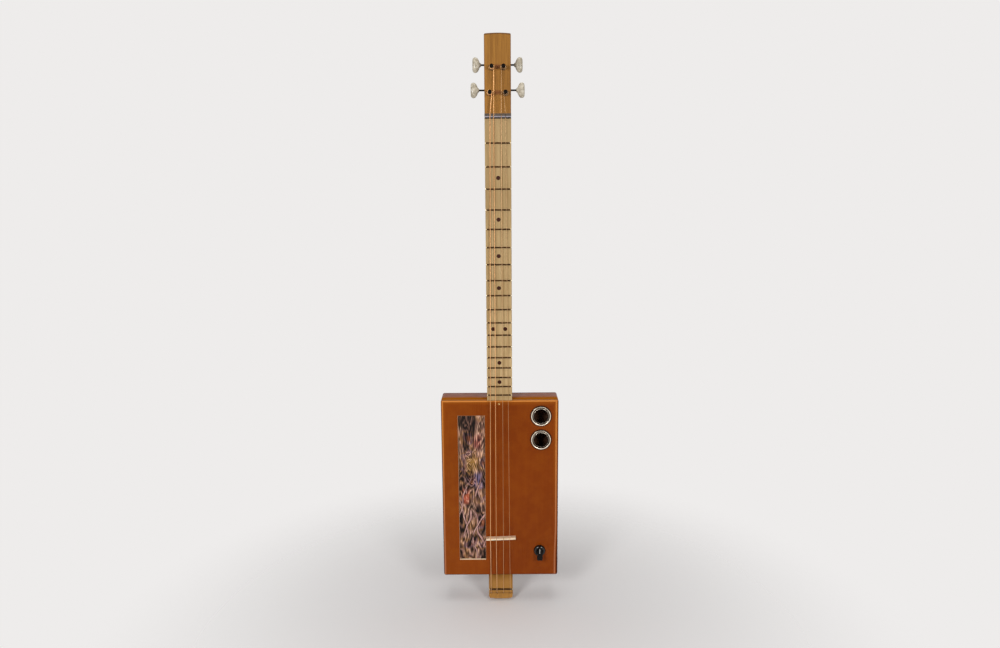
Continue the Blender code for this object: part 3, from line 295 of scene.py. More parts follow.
floor_paper.feed(floor_paper.shader.inputs["Alpha"], 1 - floor_reach.rising(0.12, 0.65))
floor = bpy.data.objects.new("floor", joined("floor", skin(floor_grid, capped=False)))
floor.data.materials.append(floor_paper.material)
bpy.context.scene.collection.objects.link(floor)

# The studio is pale wherever the camera, metal or varnish sees it. Its own light on the instrument is dim in
# front and brighter behind, two soft lamps stand beside the camera, and a wide one hangs above.
BACKGROUND = rgb(238, 236, 235)
ROOM_DARK, ROOM_BRIGHT = 0.06, 0.5
world = bpy.data.worlds.new("studio")
world.use_nodes = True
bpy.context.scene.world = world
studio = Wiring(world.node_tree)
_, studio_depth, _ = studio.parts(studio.node("ShaderNodeTexCoord", out="Generated"))
studio_light = studio_depth.rising(-0.3, 0.5) * (ROOM_BRIGHT - ROOM_DARK) + ROOM_DARK
studio_room = studio.node("ShaderNodeBackground", {}, {"Color": (1, 1, 1, 1), "Strength": studio_light})
studio_shown = studio.node("ShaderNodeBackground", {}, {"Color": BACKGROUND, "Strength": 1.0})
studio_rays = [studio.node("ShaderNodeLightPath", out=f"Is {ray} Ray") for ray in ("Camera", "Glossy", "Transmission")]
studio_seen = studio_rays[0].most(studio_rays[1]).most(studio_rays[2])
studio_mix = studio.node("ShaderNodeMixShader", {}, {0: studio_seen, 1: studio_room, 2: studio_shown})
studio.feed(world.node_tree.nodes["World Output"].inputs["Surface"], studio_mix)
LAMPS = (
    ("lamp_left", (-0.75, -1.55, 0.75), 0.5, 15.0),
    ("lamp_right", (0.70, -1.50, 0.65), 0.5, 11.0),
    ("lamp_above", (0.0, -0.35, 1.75), 1.1, 8.0),
)
for lamp_name, lamp_place, lamp_size, lamp_power in LAMPS:
    lamp_data = bpy.data.lights.new(lamp_name, "AREA")
    lamp_data.shape = "DISK"
    lamp_data.size = lamp_size
    lamp_data.energy = lamp_power
    lamp = bpy.data.objects.new(lamp_name, lamp_data)
    aim = Vector((0, 0, 0.25)) - Vector(lamp_place)
    lamp.matrix_world = Matrix.Translation(lamp_place) @ aim.to_track_quat("-Z", "Y").to_matrix().to_4x4()
    bpy.context.scene.collection.objects.link(lamp)


def wood(name, dark, light, sockets, along="Z", heart=(20, 70), ring=3.4, lines=0.5, fine=0.4, rough=0.35):
    """Planed wood, with heart and ring in mm.

    The growth lines are a wave of the distance from the tree's heart, bent by slow noise drawn out along
    the grain. Finer noise adds streaks, and the finest makes short open pores.
    """
    finish = Finish(name, sockets)
    grain = finish.stretched([0.04 if axis == along else 1.0 for axis in "XYZ"])
    across = [part for axis, part in zip("XYZ", finish.parts(grain)) if axis != along]
    bend = finish.noise(grain, 16.0, 3.0, 0.6) * (25 * mm)
    away = [part + bend - place * mm for part, place in zip(across, heart)]
    distance = (away[0] * away[0] + away[1] * away[1]) ** 0.5
    growth = (distance * (2 * math.pi / (ring * mm))).wave() * 0.5 + 0.5
    streaks = finish.noise(grain, 620.0, 3.0, 0.65)
    pores = finish.noise(grain, 2400.0, 1.0)
    cloud = finish.noise(finish.stretched((1, 1, 1)), 9.0, 2.0)
    shade = growth * lines + (streaks.rising(0.3, 0.7) - 0.5) * fine + (cloud - 0.5) * 0.8
    finish.tone = finish.mix(shade + (0.5 - 0.5 * lines), dark, light)
    finish.colour(finish.tone)
    finish.roughness(rough + 0.10 * (streaks - 0.5) + 0.12 * (cloud - 0.5))
    finish.bump(pores * 0.4 + streaks * 0.4 + growth * 0.2, 0.02 * mm)
    return finish


def at_depth(outline, depth, axis=1):
    """A flat outline put in space, square to an axis and at a depth along it."""
    return np.insert(outline, axis, depth, axis=1)


def prism(outline, low, high, axis=1):
    """A closed shell: an outline carried from low to high along an axis."""
    return skin(np.stack((at_depth(outline, low, axis), at_depth(outline, high, axis))))


def rectangle(left, right, bottom, top):
    """The four corners of a rectangle."""
    return np.array([(right, top), (left, top), (left, bottom), (right, bottom)])


def round_cornered(left, right, bottom, top, radius, inset=0.0, steps=9):
    """A rectangle's outline, with a quarter round about the centre of each corner, drawn in by inset."""
    turn = np.linspace(0, math.pi / 2, steps)[None, :] + math.pi / 2 * np.arange(4)[:, None]
    centres = rectangle(left + radius, right - radius, bottom + radius, top - radius)
    ways = np.stack((np.cos(turn), np.sin(turn)), axis=-1)
    return (centres[:, None] + (radius - inset) * ways).reshape(-1, 2)


def circle(x, z, radius, steps=48):
    """Points evenly round a centre."""
    turn = np.linspace(0, 2 * math.pi, steps, endpoint=False)
    return np.stack((x + radius * np.cos(turn), z + radius * np.sin(turn)), axis=-1)


def board(rim, *holes):
    """A closed shell of a board. Its rim and each hole are stacks of loops from its front to its back.

    Faces join the neighbouring loops of a stack. Triangles fill the front between all the first loops, and
    the back between all the last ones.
    """
    stacks = (rim, *holes)
    points = np.concatenate([stack.reshape(-1, 3) for stack in stacks])
    blocks, ends, count = [], [], 0
    for stack in stacks:
        index = count + np.arange(stack.shape[0] * stack.shape[1]).reshape(stack.shape[:2])
        blocks.append(weave(index))
        ends.append((index[0], index[-1]))
        count += index.size
    for loops in zip(*ends):
        fill = tessellate_polygon([points[loop].tolist() for loop in loops])
        blocks.append(np.concatenate(loops)[np.array(fill)])
    return points, blocks


# The box is a cigar box in orange-brown lacquer: a lid that is the soundboard, four mitred walls and a back
# panel. The lid's edges are rounded, with a painted highlight line along them and painted shade outside it.
BOX_CORNER_R, LID_EDGE_R, BACK_EDGE_R = 3.0 * mm, 2.8 * mm, 1.5 * mm
WALL_THICKNESS, NOTCH_HALF, NOTCH_FLOOR = 5.5 * mm, 19.8 * mm, -22.4 * mm
GLUE_LINE = 0.06 * mm
WINDOW = (-65.8 * mm, -23.8 * mm, -119.7 * mm, 122.0 * mm)
WINDOW_CORNER_R = 1.2 * mm
HOLE_X, HOLE_UPPER_Z, HOLE_LOWER_Z, LID_HOLE_R = 64.7 * mm, 120.9 * mm, 82.3 * mm, 13.1 * mm
KNOB_X, KNOB_Z, POT_HOLE_R = 62.9 * mm, -103.9 * mm, 4.25 * mm
JACK_X, JACK_Y, JACK_HOLE_R = 39.5 * mm, -23.5 * mm, 5.05 * mm
box_low, box_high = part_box("lid")
BOX_HALF, BOX_BOTTOM, BOX_TOP = box_high.x, box_low.z, box_high.z
LID_FRONT, LID_BACK = box_low.y, box_high.y


def panel(flat, edge, edge_r, *holes):
    """A board the size of the box. Its edge turns a quarter round from the face at edge, then runs to flat."""
    turn = np.linspace(math.pi / 2, 0, 9)
    way = 1 if flat > edge else -1
    insets = np.append(edge_r * (1 - np.cos(turn)), 0)
    depths = np.append(edge + way * edge_r * (1 - np.sin(turn)), flat)
    size = (-BOX_HALF, BOX_HALF, BOX_BOTTOM, BOX_TOP, BOX_CORNER_R)
    rim = [at_depth(round_cornered(*size, inset), depth) for inset, depth in zip(insets, depths)]
    return board(np.stack(rim), *holes)


def bored(hole, soft=0.3 * mm):
    """The loops of a hole through the lid, which opens out in front over a small quarter round.

    The hole is a function that gives its outline for the extra width there.
    """
    turn = np.linspace(0, math.pi / 2, 4)
    extras = np.append(soft * (1 - np.sin(turn)), 0)
    depths = np.append(LID_FRONT + soft * (1 - np.cos(turn)), LID_BACK)
    return np.stack([at_depth(hole(extra), depth) for extra, depth in zip(extras, depths)])


back_low, back_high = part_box("back_panel")
# Bare wood inside the box, darkened as painted shade.
BARE_AND_SHADED = rgb(106, 74, 56)


def hollow(x, y, z):
    """1 on the faces inside the box, where the wood is bare and darkened as painted shade."""
    within = (BOX_HALF - x.size()).least(BOX_TOP - z.size()).least(y - LID_BACK + 3.1 * mm).least(back_low.y + 3.1 * mm - y)
    return within.rising(2.8 * mm, 3.0 * mm)


lacquer = {"Specular IOR Level": 0.1}
lid_wood = wood("lid lacquer", rgb(114, 46, 4), rgb(142, 64, 10), lacquer, lines=0.06, fine=0.08, rough=0.3)
lid_x, lid_y, lid_z = lid_wood.parts(lid_wood.place())
lid_mottle = lid_wood.noise(lid_wood.place(), 55.0, 4.0, 0.6).rising(0.35, 0.7)
lid_rise = lid_z.rising(-0.15, 0.15)
lid_left = 1 - lid_x.rising(-BOX_HALF, 0.3 * BOX_HALF)
from_edge = (BOX_HALF - lid_x.size()).least(BOX_TOP - lid_z)
glow = (1 - from_edge.rising(2 * mm, 11 * mm)) * lid_rise * 0.45
lid_tone = lid_wood.mix((lid_mottle * 0.12 + lid_left * 0.14).most(glow), lid_wood.tone, rgb(178, 98, 22))
lid_side, lid_over, lid_under = lid_x - HOLE_X, lid_z - HOLE_UPPER_Z, lid_z - HOLE_LOWER_Z
hole_over = (lid_side * lid_side + lid_over * lid_over) ** 0.5
hole_under = (lid_side * lid_side + lid_under * lid_under) ** 0.5
# A dark ring round each eyelet is painted shadow of its flange on the lid.
hole_shadow = hole_over.least(hole_under).near(16.2 * mm, 0.6 * mm, 1.6 * mm) * 0.75
lid_tone = lid_wood.mix(hole_shadow, lid_tone, rgb(46, 20, 8))
# Along the rounded edges a bright line is painted as a highlight, stronger towards the top, and a dark line outside it
# as painted shade.
on_round = 1 - lid_y.rising(LID_FRONT + 1.8 * mm, LID_FRONT + 2.8 * mm)
lid_foot = 1 - lid_z.rising(BOX_BOTTOM + 20 * mm, BOX_BOTTOM + 90 * mm)
from_line = (BOX_HALF - lid_x.size() - lid_x * 0.007).least(BOX_TOP - lid_z + 1.4 * mm)
from_line = from_line - lid_foot * (0.8 * mm + lid_x * 0.007)
edge_highlight = from_line.near(3.0 * mm, 0.5 * mm, 1.6 * mm) * (0.55 + 0.45 * lid_rise) * on_round
from_dark = (BOX_HALF - lid_x.size() - lid_foot * (0.8 * mm + lid_x * 0.008)).least(lid_z - BOX_BOTTOM - 0.5 * mm)
edge_shade = (1 - from_dark.rising(0.5 * mm, 1.6 * mm)) * on_round
# The upper face of the lid's top edge is painted golden, as light from above.
lit_top_edge = 1 - (BOX_TOP - lid_z).rising(0.4 * mm, 1.2 * mm)
highlight_tone = lid_wood.mix(lid_rise, rgb(206, 138, 98), rgb(216, 138, 64))
lid_tone = lid_wood.mix(edge_highlight * 0.85, lid_tone, highlight_tone)
lid_tone = lid_wood.mix(edge_shade * 0.85, lid_tone, rgb(54, 20, 10))
lid_tone = lid_wood.mix(lit_top_edge, lid_tone, rgb(146, 84, 14))
window_x = (lid_x - (WINDOW[0] + WINDOW[1]) / 2).size() - (WINDOW[1] - WINDOW[0]) / 2
window_z = (lid_z - (WINDOW[2] + WINDOW[3]) / 2).size() - (WINDOW[3] - WINDOW[2]) / 2
bare_edge = 1 - window_x.most(window_z).rising(0.1 * mm, 0.25 * mm)
lid_tone = lid_wood.mix(bare_edge, lid_tone, rgb(242, 214, 180))
lid_wood.colour(lid_wood.mix(hollow(lid_x, lid_y, lid_z), lid_tone, BARE_AND_SHADED))
lid_holes = [
    bored(lambda extra: circle(HOLE_X, HOLE_UPPER_Z, LID_HOLE_R + extra)),
    bored(lambda extra: circle(HOLE_X, HOLE_LOWER_Z, LID_HOLE_R + extra)),
    bored(lambda extra: circle(KNOB_X, KNOB_Z, POT_HOLE_R + extra)),
    bored(lambda extra: round_cornered(*WINDOW, WINDOW_CORNER_R, -extra)),
]
lid_shell = panel(LID_BACK, LID_FRONT, LID_EDGE_R, *lid_holes)
piece(joined("soundboard", lid_shell), lid_wood, replaces=("lid",))

side_lacquer = {"Specular IOR Level": 0.0, "Coat Roughness": 0.25}


def wall_wood(name, along):
    """The lacquer of walls and back. A golden band near the lid on the upper half is painted light from above,
    and a dark line along the back's edges is painted shade.

    Its gloss is a coat, which is left off where the golden band is painted and missing inside the box.
    """
    finish = wood(name, rgb(106, 42, 6), rgb(142, 66, 12), side_lacquer, along, lines=0.2, fine=0.2, rough=0.3)
    x, y, z = finish.parts(finish.place())
    # Painted light: a golden band near the lid on the upper half. Painted shade: a dark line along the back's outer
    # edges.
    golden = (1 - y.rising(LID_BACK + 7 * mm, LID_BACK + 24 * mm)) * z.rising(0.0, 0.9 * BOX_TOP)
    rim = y.rising(back_high.y - 5.5 * mm, back_high.y - 1.5 * mm)
    rim = rim * (1 - (BOX_HALF - x.size()).least(BOX_TOP - z.size()).rising(0.4 * mm, 2.4 * mm))
    tone = finish.mix(golden * 0.9, finish.tone, rgb(172, 98, 12))
    tone = finish.mix(rim * 0.75, tone, rgb(58, 30, 10))
    inside = hollow(x, y, z)
    finish.colour(finish.mix(inside, tone, BARE_AND_SHADED))
    worn = finish.noise(finish.place(), 60.0, 3.0, 0.6).rising(0.35, 0.65)
    gloss = (1 - golden) * (1 - rim * 0.6) * (1 - inside) * (0.46 + 0.14 * worn)
    finish.feed(finish.shader.inputs["Coat Weight"], gloss)
    return finish


tall_wood = wall_wood("side lacquer", "Z")
back_shell = panel(back_low.y, back_high.y, BACK_EDGE_R)
piece(joined("back", back_shell), tall_wood, replaces=("back_panel",))


def wall(length, distance, notch, hole_at=None):
    """A mitred wall, as loops in its own length and depth that step from its outer face to its inner one.

    The outer corner turns an eighth of a circle to the mitre. A wall with a notch steps round the neck.
    """
    turn = np.linspace(0, math.pi / 4, 6)
    half = length / 2 - BOX_CORNER_R * (1 - np.sin(turn)) - GLUE_LINE * np.sin(turn)
    half = np.append(half, length / 2 - WALL_THICKNESS - GLUE_LINE)
    out = np.append(distance - BOX_CORNER_R * (1 - np.cos(turn)), distance - WALL_THICKNESS)
    front, back = LID_BACK + GLUE_LINE, back_low.y - GLUE_LINE
    sides = np.array([(-1, back), (-1, front), (1, front), (1, back)])
    loops = sides[None] * np.stack((half, 1 + 0 * half), axis=-1)[:, None]
    if notch:
        step = np.array([(-NOTCH_HALF, front), (-NOTCH_HALF, NOTCH_FLOOR), (NOTCH_HALF, NOTCH_FLOOR), (NOTCH_HALF, front)])
        loops = np.insert(loops, [2] * 4, step, axis=1)
    rim = np.concatenate((loops, np.broadcast_to(out[:, None, None], (*loops.shape[:2], 1))), axis=-1)
    if hole_at is None:
        return rim, []
    bore = circle(*hole_at, JACK_HOLE_R)
    return rim, [np.stack([at_depth(bore, depth, 2) for depth in (distance, distance - WALL_THICKNESS)])]


across_wood = wall_wood("end lacquer", "X")
BOX_WIDTH, BOX_HEIGHT = 2 * BOX_HALF, BOX_TOP - BOX_BOTTOM
for side_name, side_sign in (("left", -1), ("right", 1)):
    rim, _ = wall(BOX_HEIGHT, BOX_HALF, False)
    shell = board(rim[..., [2, 1, 0]] * (side_sign, 1, 1))
    piece(joined(side_name + "_side", shell), tall_wood, replaces=("wall_" + side_name,))
for end_name, end_sign, bore_at in (("top", 1, None), ("bottom", -1, (JACK_X, JACK_Y))):
    rim, bores = wall(BOX_WIDTH, BOX_TOP, True, bore_at)
    shell = board(rim * (1, 1, end_sign), *[bore * (1, 1, end_sign) for bore in bores])
    piece(joined(end_name + "_end", shell), across_wood, replaces=("wall_" + end_name,))

# The board behind the window is printed with a marbled pattern: long strands of mauve, pink, ochre and brown
# on black, which part and join, with a few broad pale loops. It is varnished and glued behind the lid.
picture_low, picture_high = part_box("picture_panel")
print_ink = Finish("marbled print", {"Specular IOR Level": 0.12})
print_warp = print_ink.node(
    "ShaderNodeTexNoise", {}, {"Vector": print_ink.stretched((1.0, 1.0, 0.5)), "Scale": 34.0, "Detail": 1.0}, 1
)
print_pull = print_ink.node("ShaderNodeVectorMath", {"operation": "SCALE"}, {0: print_warp, "Scale": 0.02})
print_bent = print_ink.node("ShaderNodeVectorMath", {"operation": "ADD"}, {0: print_ink.place(), 1: print_pull})
print_long = print_ink.node("ShaderNodeMapping", {}, {"Vector": print_bent, "Scale": (1.0, 1.0, 0.1)})
print_round = print_ink.node("ShaderNodeMapping", {}, {"Vector": print_bent, "Scale": (1.0, 1.0, 0.35)})
print_x, _, print_z = print_ink.parts(print_ink.place())
HUE_STOPS = (
    (0.32, rgb(112, 86, 70)),
    (0.42, rgb(164, 120, 104)),
    (0.50, rgb(176, 126, 82)),
    (0.58, rgb(142, 108, 114)),
    (0.68, rgb(164, 96, 66)),
)
print_hue = print_ink.node("ShaderNodeValToRGB", {"stops": HUE_STOPS}, {"Fac": print_ink.noise(print_bent, 40.0, 2.0)})
PRINT_PATCHES = (
    (rgb(190, 142, 70), -45.0, 5.0, 13.0, 38.0, 8.0, 22.0),
    (rgb(196, 84, 58), -55.0, 3.0, 9.0, -13.0, 6.0, 18.0),
    (rgb(126, 118, 166), -35.0, 3.0, 10.0, 14.0, 6.0, 20.0),
    (rgb(188, 104, 92), -36.0, 3.0, 9.0, 78.0, 4.0, 16.0),
)
for patch_colour, patch_x, inner_x, outer_x, patch_z, inner_z, outer_z in PRINT_PATCHES:
    patch = print_x.near(patch_x * mm, inner_x * mm, outer_x * mm) * print_z.near(patch_z * mm, inner_z * mm, outer_z * mm)
    print_hue = print_ink.mix(patch * 0.8, print_hue, patch_colour)
print_upper = print_z.rising(-0.02, 0.04)
print_flow = print_ink.noise(print_long, 70.0, 3.0) * print_upper + print_ink.noise(print_round, 44.0, 2.0) * (1 - print_upper)
print_strand = (print_flow * (64.0 + 40.0 * print_upper)).wave() * 0.5 + 0.5
print_fine = print_ink.noise(print_long, 700.0, 2.0, 0.6).rising(0.3, 0.7)
print_mass = print_ink.noise(print_round, 62.0, 2.0, 0.55).rising(0.36, 0.56)
print_shade = (print_strand * 0.55 + print_fine * 0.3 + print_mass * 0.4).rising(0.3, 1.2)
print_tone = print_ink.mix(print_shade, rgb(24, 16, 14), print_hue)
print_crest = (print_strand * print_fine * (0.4 + 0.6 * print_mass)).rising(0.4, 0.85)
print_tone = print_ink.mix(print_crest * 0.8, print_tone, rgb(238, 194, 164))
print_sway = print_ink.noise(print_ink.stretched((1.0, 1.0, 0.7)), 24.0, 1.0)
print_fade = print_ink.noise(print_ink.place(), 36.0, 1.0).rising(0.4, 0.5) * (1 - print_z.rising(0.0, 0.03))
print_pink = print_ink.mix(print_fine, rgb(150, 108, 104), rgb(226, 178, 166))
for print_slant in (0.36, -0.3):
    print_turn = (print_x + print_z * print_slant + print_sway * (40 * mm)) * (2 * math.pi / (21 * mm))
    print_arc = print_turn.wave()
    print_tone = print_ink.mix(print_arc.rising(0.68, 0.86) * print_fade * 0.85, print_tone, rgb(20, 12, 12))
    print_tone = print_ink.mix(print_arc.rising(0.90, 0.965) * print_fade * 0.95, print_tone, print_pink)
print_ink.colour(print_tone)
print_ink.roughness(0.3 + 0.3 * print_fine)
print_ink.bump(print_ink.noise(print_ink.place(), 500.0, 2.0), 0.015 * mm)
picture_outline = round_cornered(picture_low.x, picture_high.x, picture_low.z, picture_high.z, 1.0 * mm)
piece(
    joined("printed_picture", prism(picture_outline, picture_low.y, picture_high.y)),
    print_ink,
    replaces=("picture_panel",),
)


def turned(profile, centre, axis=1, steps=48, closed=False):
    """A turned shell: pairs of radius and place along an axis, spun round that axis through a centre.

    With closed the profile's last point joins its first, as in a ring.
    """
    profile = np.array(profile, float)
    if closed:
        profile = np.concatenate((profile, profile[:1]))
    radius, along = profile.T[:, :, None]
    turn = np.linspace(0, 2 * math.pi, steps, endpoint=False)[None, :]
    grid = np.stack((radius * np.cos(turn), radius * np.sin(turn)), axis=-1)
    grid = np.insert(grid, axis, along + 0 * turn, axis=-1)
    return skin(grid + np.array(centre) * (np.arange(3) != axis), capped=not closed)


def metal(name, dark, light, rough=0.3, drawn=1.0):
    """Metal that has been handled: a cloudy tarnish in its colour and shine, and fine rubbed scratches.

    With drawn under 1 the clouds are drawn out along Z.
    """
    finish = Finish(name, {"Metallic": 1.0})
    cloud = finish.noise(finish.stretched((1.0, 1.0, drawn)), 180.0, 3.0, 0.6)
    scratches = finish.noise(finish.stretched((1.0, 1.0, 0.15)), 2200.0, 2.0)
    finish.tone = finish.mix(cloud.rising(0.3, 0.7), dark, light)
    finish.colour(finish.tone)
    finish.roughness(rough + 0.2 * (cloud - 0.5) + 0.1 * (scratches - 0.5))
    finish.bump(scratches, 0.004 * mm)
    return finish


# Two turned nickel eyelets line the sound holes. Each has a round bead outside, a funnel inside it, and a thin
# lip round the hole. They are pressed into the lid. Their nickel is painted dark as a dark reflection, with a
# painted highlight ring on the bead, dimmer at its crown, and a fainter one on the lip.
EYELET_R, EYELET_CREST_R, EYELET_FLANGE_R, EYELET_BARREL_R = 11.5 * mm, 14.5 * mm, 16.1 * mm, 12.7 * mm
eyelet_low, eyelet_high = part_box("grommet_upper")
eyelet_metal = metal("nickel eyelet", rgb(206, 190, 168), rgb(250, 240, 222), 0.3)
eyelet_x, _, eyelet_z = eyelet_metal.parts(eyelet_metal.place())
eyelet_side = eyelet_x - HOLE_X
eyelet_over, eyelet_under = eyelet_z - HOLE_UPPER_Z, eyelet_z - HOLE_LOWER_Z
eyelet_rise = eyelet_over.size().least(eyelet_under.size())
eyelet_reach = (eyelet_side * eyelet_side + eyelet_rise * eyelet_rise) ** 0.5
# Painted highlights: a ring on the bead, dimmed at its crown as painted shade, and a faint one on the lip; the rest is
# painted dark reflection.
crown_shade = eyelet_over.near(14 * mm, 2 * mm, 9 * mm).most(eyelet_under.near(14 * mm, 2 * mm, 9 * mm))
bead_highlight = eyelet_reach.near(14.6 * mm, 0.5 * mm, 0.95 * mm) * (1 - crown_shade * 0.65)
lip_highlight = eyelet_reach.near(11.75 * mm, 0.3 * mm, 0.6 * mm) * 0.45
eyelet_metal.colour(eyelet_metal.mix(bead_highlight.most(lip_highlight), rgb(40, 30, 24), eyelet_metal.tone))
bead_turn = np.linspace(0, 0.9 * math.pi, 14)
bead_foot = LID_FRONT - 0.4 * mm
bead = np.stack(
    (
        EYELET_CREST_R + (EYELET_FLANGE_R - EYELET_CREST_R) * np.cos(bead_turn),
        bead_foot - (bead_foot - eyelet_low.y) * np.sin(bead_turn),
    ),
    axis=-1,
)
eyelet_inside = [
    (EYELET_R + 0.9 * mm, LID_FRONT - 0.7 * mm),
    (EYELET_R + 0.5 * mm, LID_FRONT - 0.7 * mm),
    (EYELET_R + 0.2 * mm, LID_FRONT - 0.9 * mm),
    (EYELET_R, LID_FRONT - 0.7 * mm),
    (EYELET_R, eyelet_high.y),
    (EYELET_BARREL_R, eyelet_high.y),
    (EYELET_BARREL_R, LID_FRONT),
    (EYELET_FLANGE_R, LID_FRONT),
]
for eyelet_name, eyelet_z in (("upper", HOLE_UPPER_Z), ("lower", HOLE_LOWER_Z)):
    eyelet_shell = turned(np.concatenate((bead, eyelet_inside)), (HOLE_X, 0, eyelet_z), 1, 72, True)
    eyelet_mesh = joined("eyelet_" + eyelet_name, eyelet_shell)
    piece(eyelet_mesh, eyelet_metal, replaces=("grommet_" + eyelet_name,), sharp=60.0)


def eased(share):
    """A share from 0 to 1 that starts and ends slowly, as half a cosine wave."""
    return (1 - np.cos(math.pi * np.clip(share, 0, 1))) / 2


def fallen(past, radius):
    """How far a quarter round has fallen at a distance past its start: r - sqrt(r^2 - past^2)."""
    past = np.clip(past, 0, radius)
    return radius - np.sqrt(np.maximum(radius**2 - past**2, 0))


def cut(name, shell, *cutters):
    """A mesh of a shell with other shells sawn or drilled out of it."""
    work = bpy.data.objects.new(name, joined(name, shell))
    tools = [bpy.data.objects.new("tool", joined("tool", cutter)) for cutter in cutters]
    for used in (work, *tools):
        bpy.context.scene.collection.objects.link(used)
    for tool in tools:
        saw = work.modifiers.new("saw", "BOOLEAN")
        saw.operation, saw.object, saw.solver = "DIFFERENCE", tool, "EXACT"
    shaped = bpy.data.meshes.new_from_object(work.evaluated_get(bpy.context.evaluated_depsgraph_get()))
    for used in (work, *tools):
        bpy.data.meshes.remove(used.data)
    shaped.name = name
    return shaped


# The neck is one length of maple in amber stain that runs through the box from headstock to tail. Its back
# is planed round from the heel to the nut, the headstock is thinner, and both ends are sawn to a low arch.
neck_low, neck_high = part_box("neck")
nut_low, nut_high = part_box("nut")
NECK_HALF, NECK_FRONT, NECK_BACK = neck_high.x, neck_low.y, neck_high.y
HEAD_BACK = NECK_FRONT + 15.0 * mm
HEEL_FROM, HEEL_BLEND = BOX_TOP + 8.0 * mm, 38.0 * mm
HEAD_FROM, HEAD_BLEND = nut_low.z - 34.0 * mm, 42.0 * mm
TAIL_WIRE_Z, TAIL_HOLES_Z = BOX_BOTTOM - 27.2 * mm, BOX_BOTTOM - 34.0 * mm
TAIL_PLACES = (15.4 * mm, 4.4 * mm, -6.3 * mm, -15.8 * mm)
LOWER_POST, UPPER_POST = (11.6 * mm, nut_low.z + 35.3 * mm), (8.6 * mm, nut_low.z + 71.3 * mm)
POSTS = ((1, *LOWER_POST), (1, *UPPER_POST), (-1, *UPPER_POST), (-1, *LOWER_POST))


def neck_shell(edge=2.5 * mm, depth=13.0 * mm, flat=0.5 * mm, end_edge=0.7 * mm, columns=49):
    """Cross-sections of the neck from tail to head, with front and back points at the same places across.

    The back's corners are quarter ellipses. Their size and the neck's thickness ease from one shape to the
    next along Z. The front's edges are rounded only where no fretboard lies. At an end the section draws in
    over a quarter round and falls short by an arch of x^2 and a round corner.
    """
    quarter = np.linspace(math.pi / 2, 0, 5)
    from_end = np.append(end_edge * (1 - np.sin(quarter)), 12.0 * mm)
    end_inset = np.append(end_edge * (1 - np.cos(quarter)), 0)
    end_share = np.append(1 + 0 * quarter, 0)
    middle = np.concatenate(
        (
            (BOX_BOTTOM - 4 * mm, BOX_BOTTOM),
            np.linspace(HEEL_FROM, HEEL_FROM + HEEL_BLEND, 17),
            np.linspace(HEAD_FROM, HEAD_FROM + HEAD_BLEND, 17),
            (nut_high.z + 4 * mm,),
        )
    )
    rows = (
        np.concatenate((neck_low.z + from_end, middle, neck_high.z - from_end[::-1])),
        np.concatenate((end_inset, 0 * middle, end_inset[::-1])),
        np.concatenate((end_share, 0 * middle, 0 * end_share)),
        np.concatenate((0 * end_share, 0 * middle, end_share[::-1])),
    )
    z, inset, at_tail, at_head = (row[:, None] for row in rows)
    to_head = eased((z - HEAD_FROM) / HEAD_BLEND)
    rounder = eased((z - HEEL_FROM) / HEEL_BLEND) - to_head
    corner_x = edge + (NECK_HALF - flat - edge) * rounder
    corner_y = edge + (depth - edge) * rounder
    back = NECK_BACK + (HEAD_BACK - NECK_BACK) * to_head
    u = np.linspace(-1, 1, columns)[None, :]
    turn = (1 - np.clip(2 * np.abs(u) - 1, 0, 1)) * math.pi / 2
    x = np.sign(u) * ((NECK_HALF - corner_x) * np.minimum(2 * np.abs(u), 1) + corner_x * np.cos(turn))
    bare = np.maximum(eased((z - nut_high.z) / (4 * mm)), eased((BOX_BOTTOM - z) / (4 * mm)))
    soft = 0.8 * mm * bare + 1e-9
    front_y = NECK_FRONT + fallen(np.abs(x) - NECK_HALF + soft, soft)
    back_y = back - corner_y * (1 - np.sin(turn))
    head_fall = 1.0 * mm * (x / NECK_HALF) ** 2 + fallen(np.abs(x) - NECK_HALF + 1.2 * mm, 1.2 * mm)
    tail_fall = 1.4 * mm * (x / NECK_HALF) ** 2 + fallen(np.abs(x) - NECK_HALF + 3.0 * mm, 3.0 * mm)
    height = z + tail_fall * at_tail - head_fall * at_head
    middle_y = (NECK_FRONT + back) / 2
    draw_x, draw_y = 1 - inset / NECK_HALF, 1 - 2 * inset / (back - NECK_FRONT)
    front = np.stack((x * draw_x, middle_y + (front_y - middle_y) * draw_y, height), axis=-1)
    rear = np.stack((x * draw_x, middle_y + (back_y - middle_y) * draw_y, height), axis=-1)
    points, blocks = skin(np.concatenate((front, rear[:, ::-1]), axis=1), capped=False)
    index = np.arange(len(points)).reshape(len(z), -1)
    for row in (index[0], index[-1]):
        blocks.append(weave(np.stack((row[:columns], row[columns:][::-1])), False))
    return points, blocks


def drilled(x, z, *steps):
    """The bits that make a hole along Y: pairs of radius and depth, from the front to the back."""
    return turned([(0.01 * mm, steps[0][1]), *steps, (0.01 * mm, steps[-1][1])], (x, 0, z))


neck_front_air, neck_back_air = NECK_FRONT - 2 * mm, NECK_BACK + 2 * mm
relief = prism(rectangle(-0.03, 0.03, -129 * mm, 129 * mm), neck_front_air, NECK_FRONT + 3.0 * mm)
tail_slot = rectangle(-0.03, 0.03, TAIL_WIRE_Z - 0.4 * mm, TAIL_WIRE_Z + 0.4 * mm)
neck_cutters = [relief, prism(tail_slot, neck_front_air, NECK_FRONT + 2.1 * mm)]
for x in TAIL_PLACES:
    string_bit, ball_bit = 1.1 * mm, 2.05 * mm
    ball_seat = NECK_BACK - 3.6 * mm
    bits = ((string_bit, neck_front_air), (string_bit, ball_seat), (ball_bit, ball_seat), (ball_bit, neck_back_air))
    neck_cutters.append(drilled(x, TAIL_HOLES_Z, *bits))
for side, x, z in POSTS:
    neck_cutters.append(drilled(side * x, z, (4.4 * mm, neck_front_air), (4.4 * mm, neck_back_air)))
